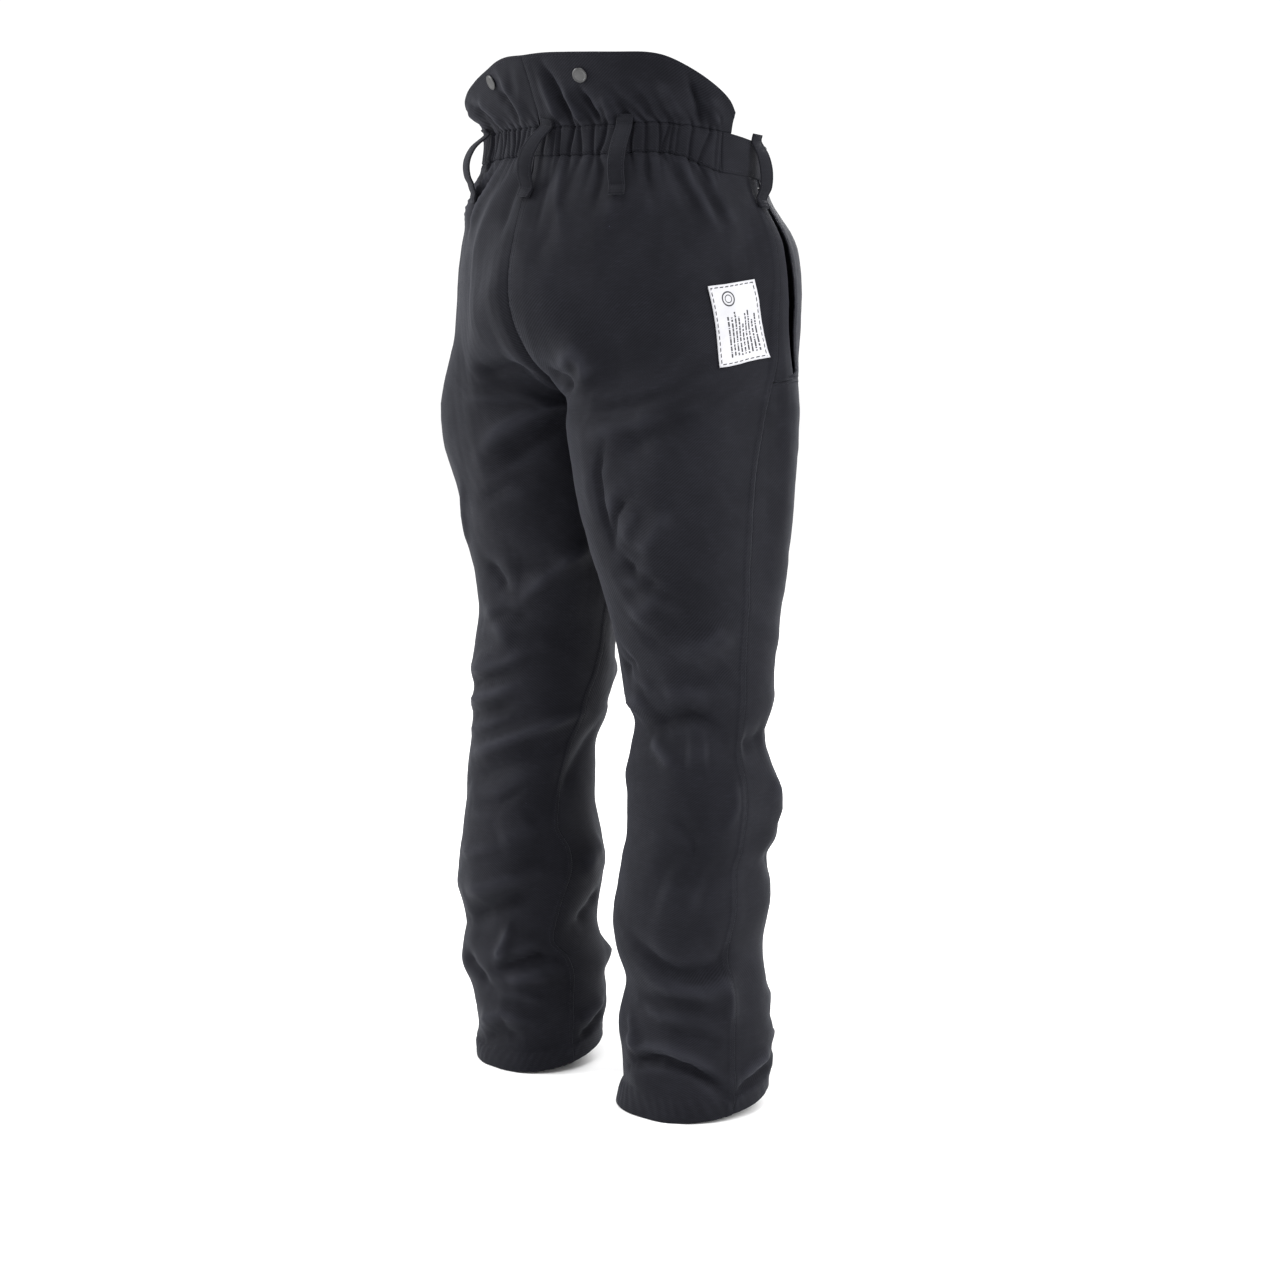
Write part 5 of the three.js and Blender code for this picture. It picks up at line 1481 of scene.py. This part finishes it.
lathe("waist_snap_stud", SMALL_STUD, at("right", *snap, -0.95, 0.0)[0], out)

# guard flap behind the zip: a rectangle on the slope of the fly
FLY_FOOT = np.array([0.0, -117.86, -142.35])
FLY_UP = np.array([0, 0.05129, 0.99868])
FLY_OUT = np.array([0, -0.99868, 0.05129])
GUARD_FRONT, GUARD_BACK = -2.9, -3.9
lo, hi = (np.array(corner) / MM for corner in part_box("fly_guard"))
length = (hi[2] - lo[2] - 0.3) / FLY_UP[2]
x, y = np.meshgrid(np.linspace(lo[0] + 0.3, hi[0] - 0.3, 16), np.linspace(0, length, 40))
wave = 0.15 * np.sin(y / 9) * np.sin(np.linspace(0, np.pi, 16))
flat = FLY_FOOT + x[..., None] * np.array([1, 0, 0]) + (y - 6)[..., None] * FLY_UP
outer, inner = (flat + (wave + depth)[..., None] * FLY_OUT for depth in (GUARD_FRONT, GUARD_BACK))
sheet_piece("fly_guard", outer, inner, "shell_twill", np.stack([x, y], -1) * MM, flipped=True)

ZIP_FINISHES = {
    "zip_black": ("zip_tape_left", "zip_tape_right", "zip_teeth_left", "zip_teeth_right"),
    "snap_metal": ("zip_slider", "zip_pull", "zip_bottom_stop"),
}
for finish, names in ZIP_FINISHES.items():
    for name in names:
        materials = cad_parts[name].data.materials
        materials.clear()
        materials.append(MATERIALS[finish])

# ------------------------------------------------------------------ labels
LABEL_T, LABEL_V = 0.452, -140.5                    # the label's middle
TILT, SKEW = math.radians(6), math.radians(14)      # the soft label has slipped a little out of square
x, y = np.meshgrid(np.linspace(-LABEL_W / 2, LABEL_W / 2, 24), np.linspace(-LABEL_L / 2, LABEL_L / 2, 34))
t = LABEL_T + (x * math.cos(TILT) - y * math.sin(SKEW)) / BACK_GIRTH
v = LABEL_V + x * math.sin(TILT) + y * math.cos(SKEW)
curl = 0.9 * ((np.abs(x) / (LABEL_W / 2)) ** 6 * (np.abs(y) / (LABEL_L / 2)) ** 6)
sheet_piece("hip_label", at("right", t, v, -1.2 - curl), at("right", t, v, -0.7 - curl), "label_weave",
            np.stack([-x, y], -1), flipped=True)
across("size_tag", np.linspace(-0.035, 0.035, 15), np.linspace(12, 34, 8)[:, None], 6.7, 0.5, "label_weave")

finish_threads()

# ------------------------------------------------------------------ the cut cloth
# Flat width, length and area of each cut, in metres; how it is held, and what holds it.
CUTS = {
    "back_panel": (0.34, 0.97, 0.25, "hung", "waist_casing"),
    "front_panel": (0.34, 0.95, 0.24, "hung", "front_waistband_left"),
    "pocket_facing": (0.045, 0.2, None, "hung", "back_panel_left"),
    "pocket_bag": (0.12, 0.245, None, "hung", "front_waistband_left"),
    "guard_lining": (0.31, 0.82, 0.18, "hung", "front_waistband_left"),
    "hem_cuff": (0.025, 0.45, None, "folded", "back_panel_left"),
    "waist_casing": (0.038, 0.48, 0.015, "gathered", "waist_elastic"),
    "waist_elastic": (0.022, 0.43, None, "stretched", "front_waistband_left"),
    "casing_lining": (0.032, 0.44, None, "hung", "waist_casing"),
    "front_waistband": (0.034, 0.275, None, "hung", "waist_casing"),
    "front_band_facing": (0.034, 0.275, None, "hung", "front_waistband_left"),
    "high_back": (0.075, 0.26, 0.0135, "gathered", "waist_casing"),
    "high_back_facing": (0.07, 0.49, 0.024, "hung", "waist_casing"),
    "belt_loop": (0.016, 0.085, None, "folded", "waist_casing"),
    "fly_flap": (0.04, 0.166, 0.0062, "hung", "front_panel_left"),
    "waist_tab": (0.032, 0.07, None, "hung", "front_waistband_left"),
    "fly_guard": (0.036, 0.14, None, "hung", "front_panel_left"),
    "hip_label": (0.054, 0.08, None, "laid", "back_panel_right"),
    "size_tag": (0.022, 0.036, None, "laid", "casing_lining"),
}
for name, ob in PIECES.items():
    kind = "belt_loop" if name.startswith("belt_loop") else name.replace("_left", "").replace("_right", "")
    if kind in CUTS:
        width, length, area, held, holder = CUTS[kind]
        if name.endswith("_right"):
            holder = holder.replace("_left", "_right")

# ------------------------------------------------------------------ camera, floor and light
CAMERA_PLACE = (-1788.6, 1887.2, -53)       # mm
CAMERA_TARGET = (-15.4, -14.3, -473)
FLOOR_HALF = 9.0                            # metres
GROUND = HEM_Z * MM - 0.0005
scene = bpy.context.scene


def aim(ob, target):
    """Put an object in the scene, turned towards a target."""
    ob.rotation_euler = (Vector(target) - ob.location).to_track_quat("-Z", "Y").to_euler()
    scene.collection.objects.link(ob)


camera = bpy.data.objects.new("camera", bpy.data.cameras.new("camera"))
camera.data.lens = 71.9
camera.data.sensor_width = 36
camera.location = Vector(CAMERA_PLACE) * MM
aim(camera, Vector(CAMERA_TARGET) * MM)
scene.camera = camera

Finish("floor_paper", (0.93, 0.93, 0.93), 0.9, specular=0.1)
corners = [(x * FLOOR_HALF, y * FLOOR_HALF, GROUND) for x, y in ((-1, -1), (1, -1), (1, 1), (-1, 1))]
floor = bpy.data.objects.new("floor", bpy.data.meshes.new("floor"))
floor.data.from_pydata(corners, [], [(0, 1, 2, 3)])
floor.data.materials.append(MATERIALS["floor_paper"])
scene.collection.objects.link(floor)

scene.world = bpy.data.worlds.new("studio")
scene.world.use_nodes = True
background = scene.world.node_tree.nodes["Background"]
background.inputs[0].default_value = (1, 1, 1, 1)
background.inputs[1].default_value = 1.08
scene.view_settings.view_transform = "Standard"

# Soft boxes: place, width and height in metres, power in watts.
SOFT_BOXES = {
    "softbox_left": ((1.9, 1.7, 0.7), (0.9, 2.2), 75),
    "softbox_right": ((-2.3, -0.9, 0.7), (0.9, 2.2), 50),
    "softbox_top": ((-0.7, 1.2, 2.6), (1.4, 1.4), 42),
    "softbox_front": ((0.8, -2.6, 1.0), (1.6, 1.6), 60),
}
for name, (place, size, power) in SOFT_BOXES.items():
    light = bpy.data.objects.new(name, bpy.data.lights.new(name, "AREA"))
    light.data.shape = "RECTANGLE"
    light.data.size, light.data.size_y = size
    light.data.energy = power
    light.location = place
    aim(light, (0, 0, -0.45))
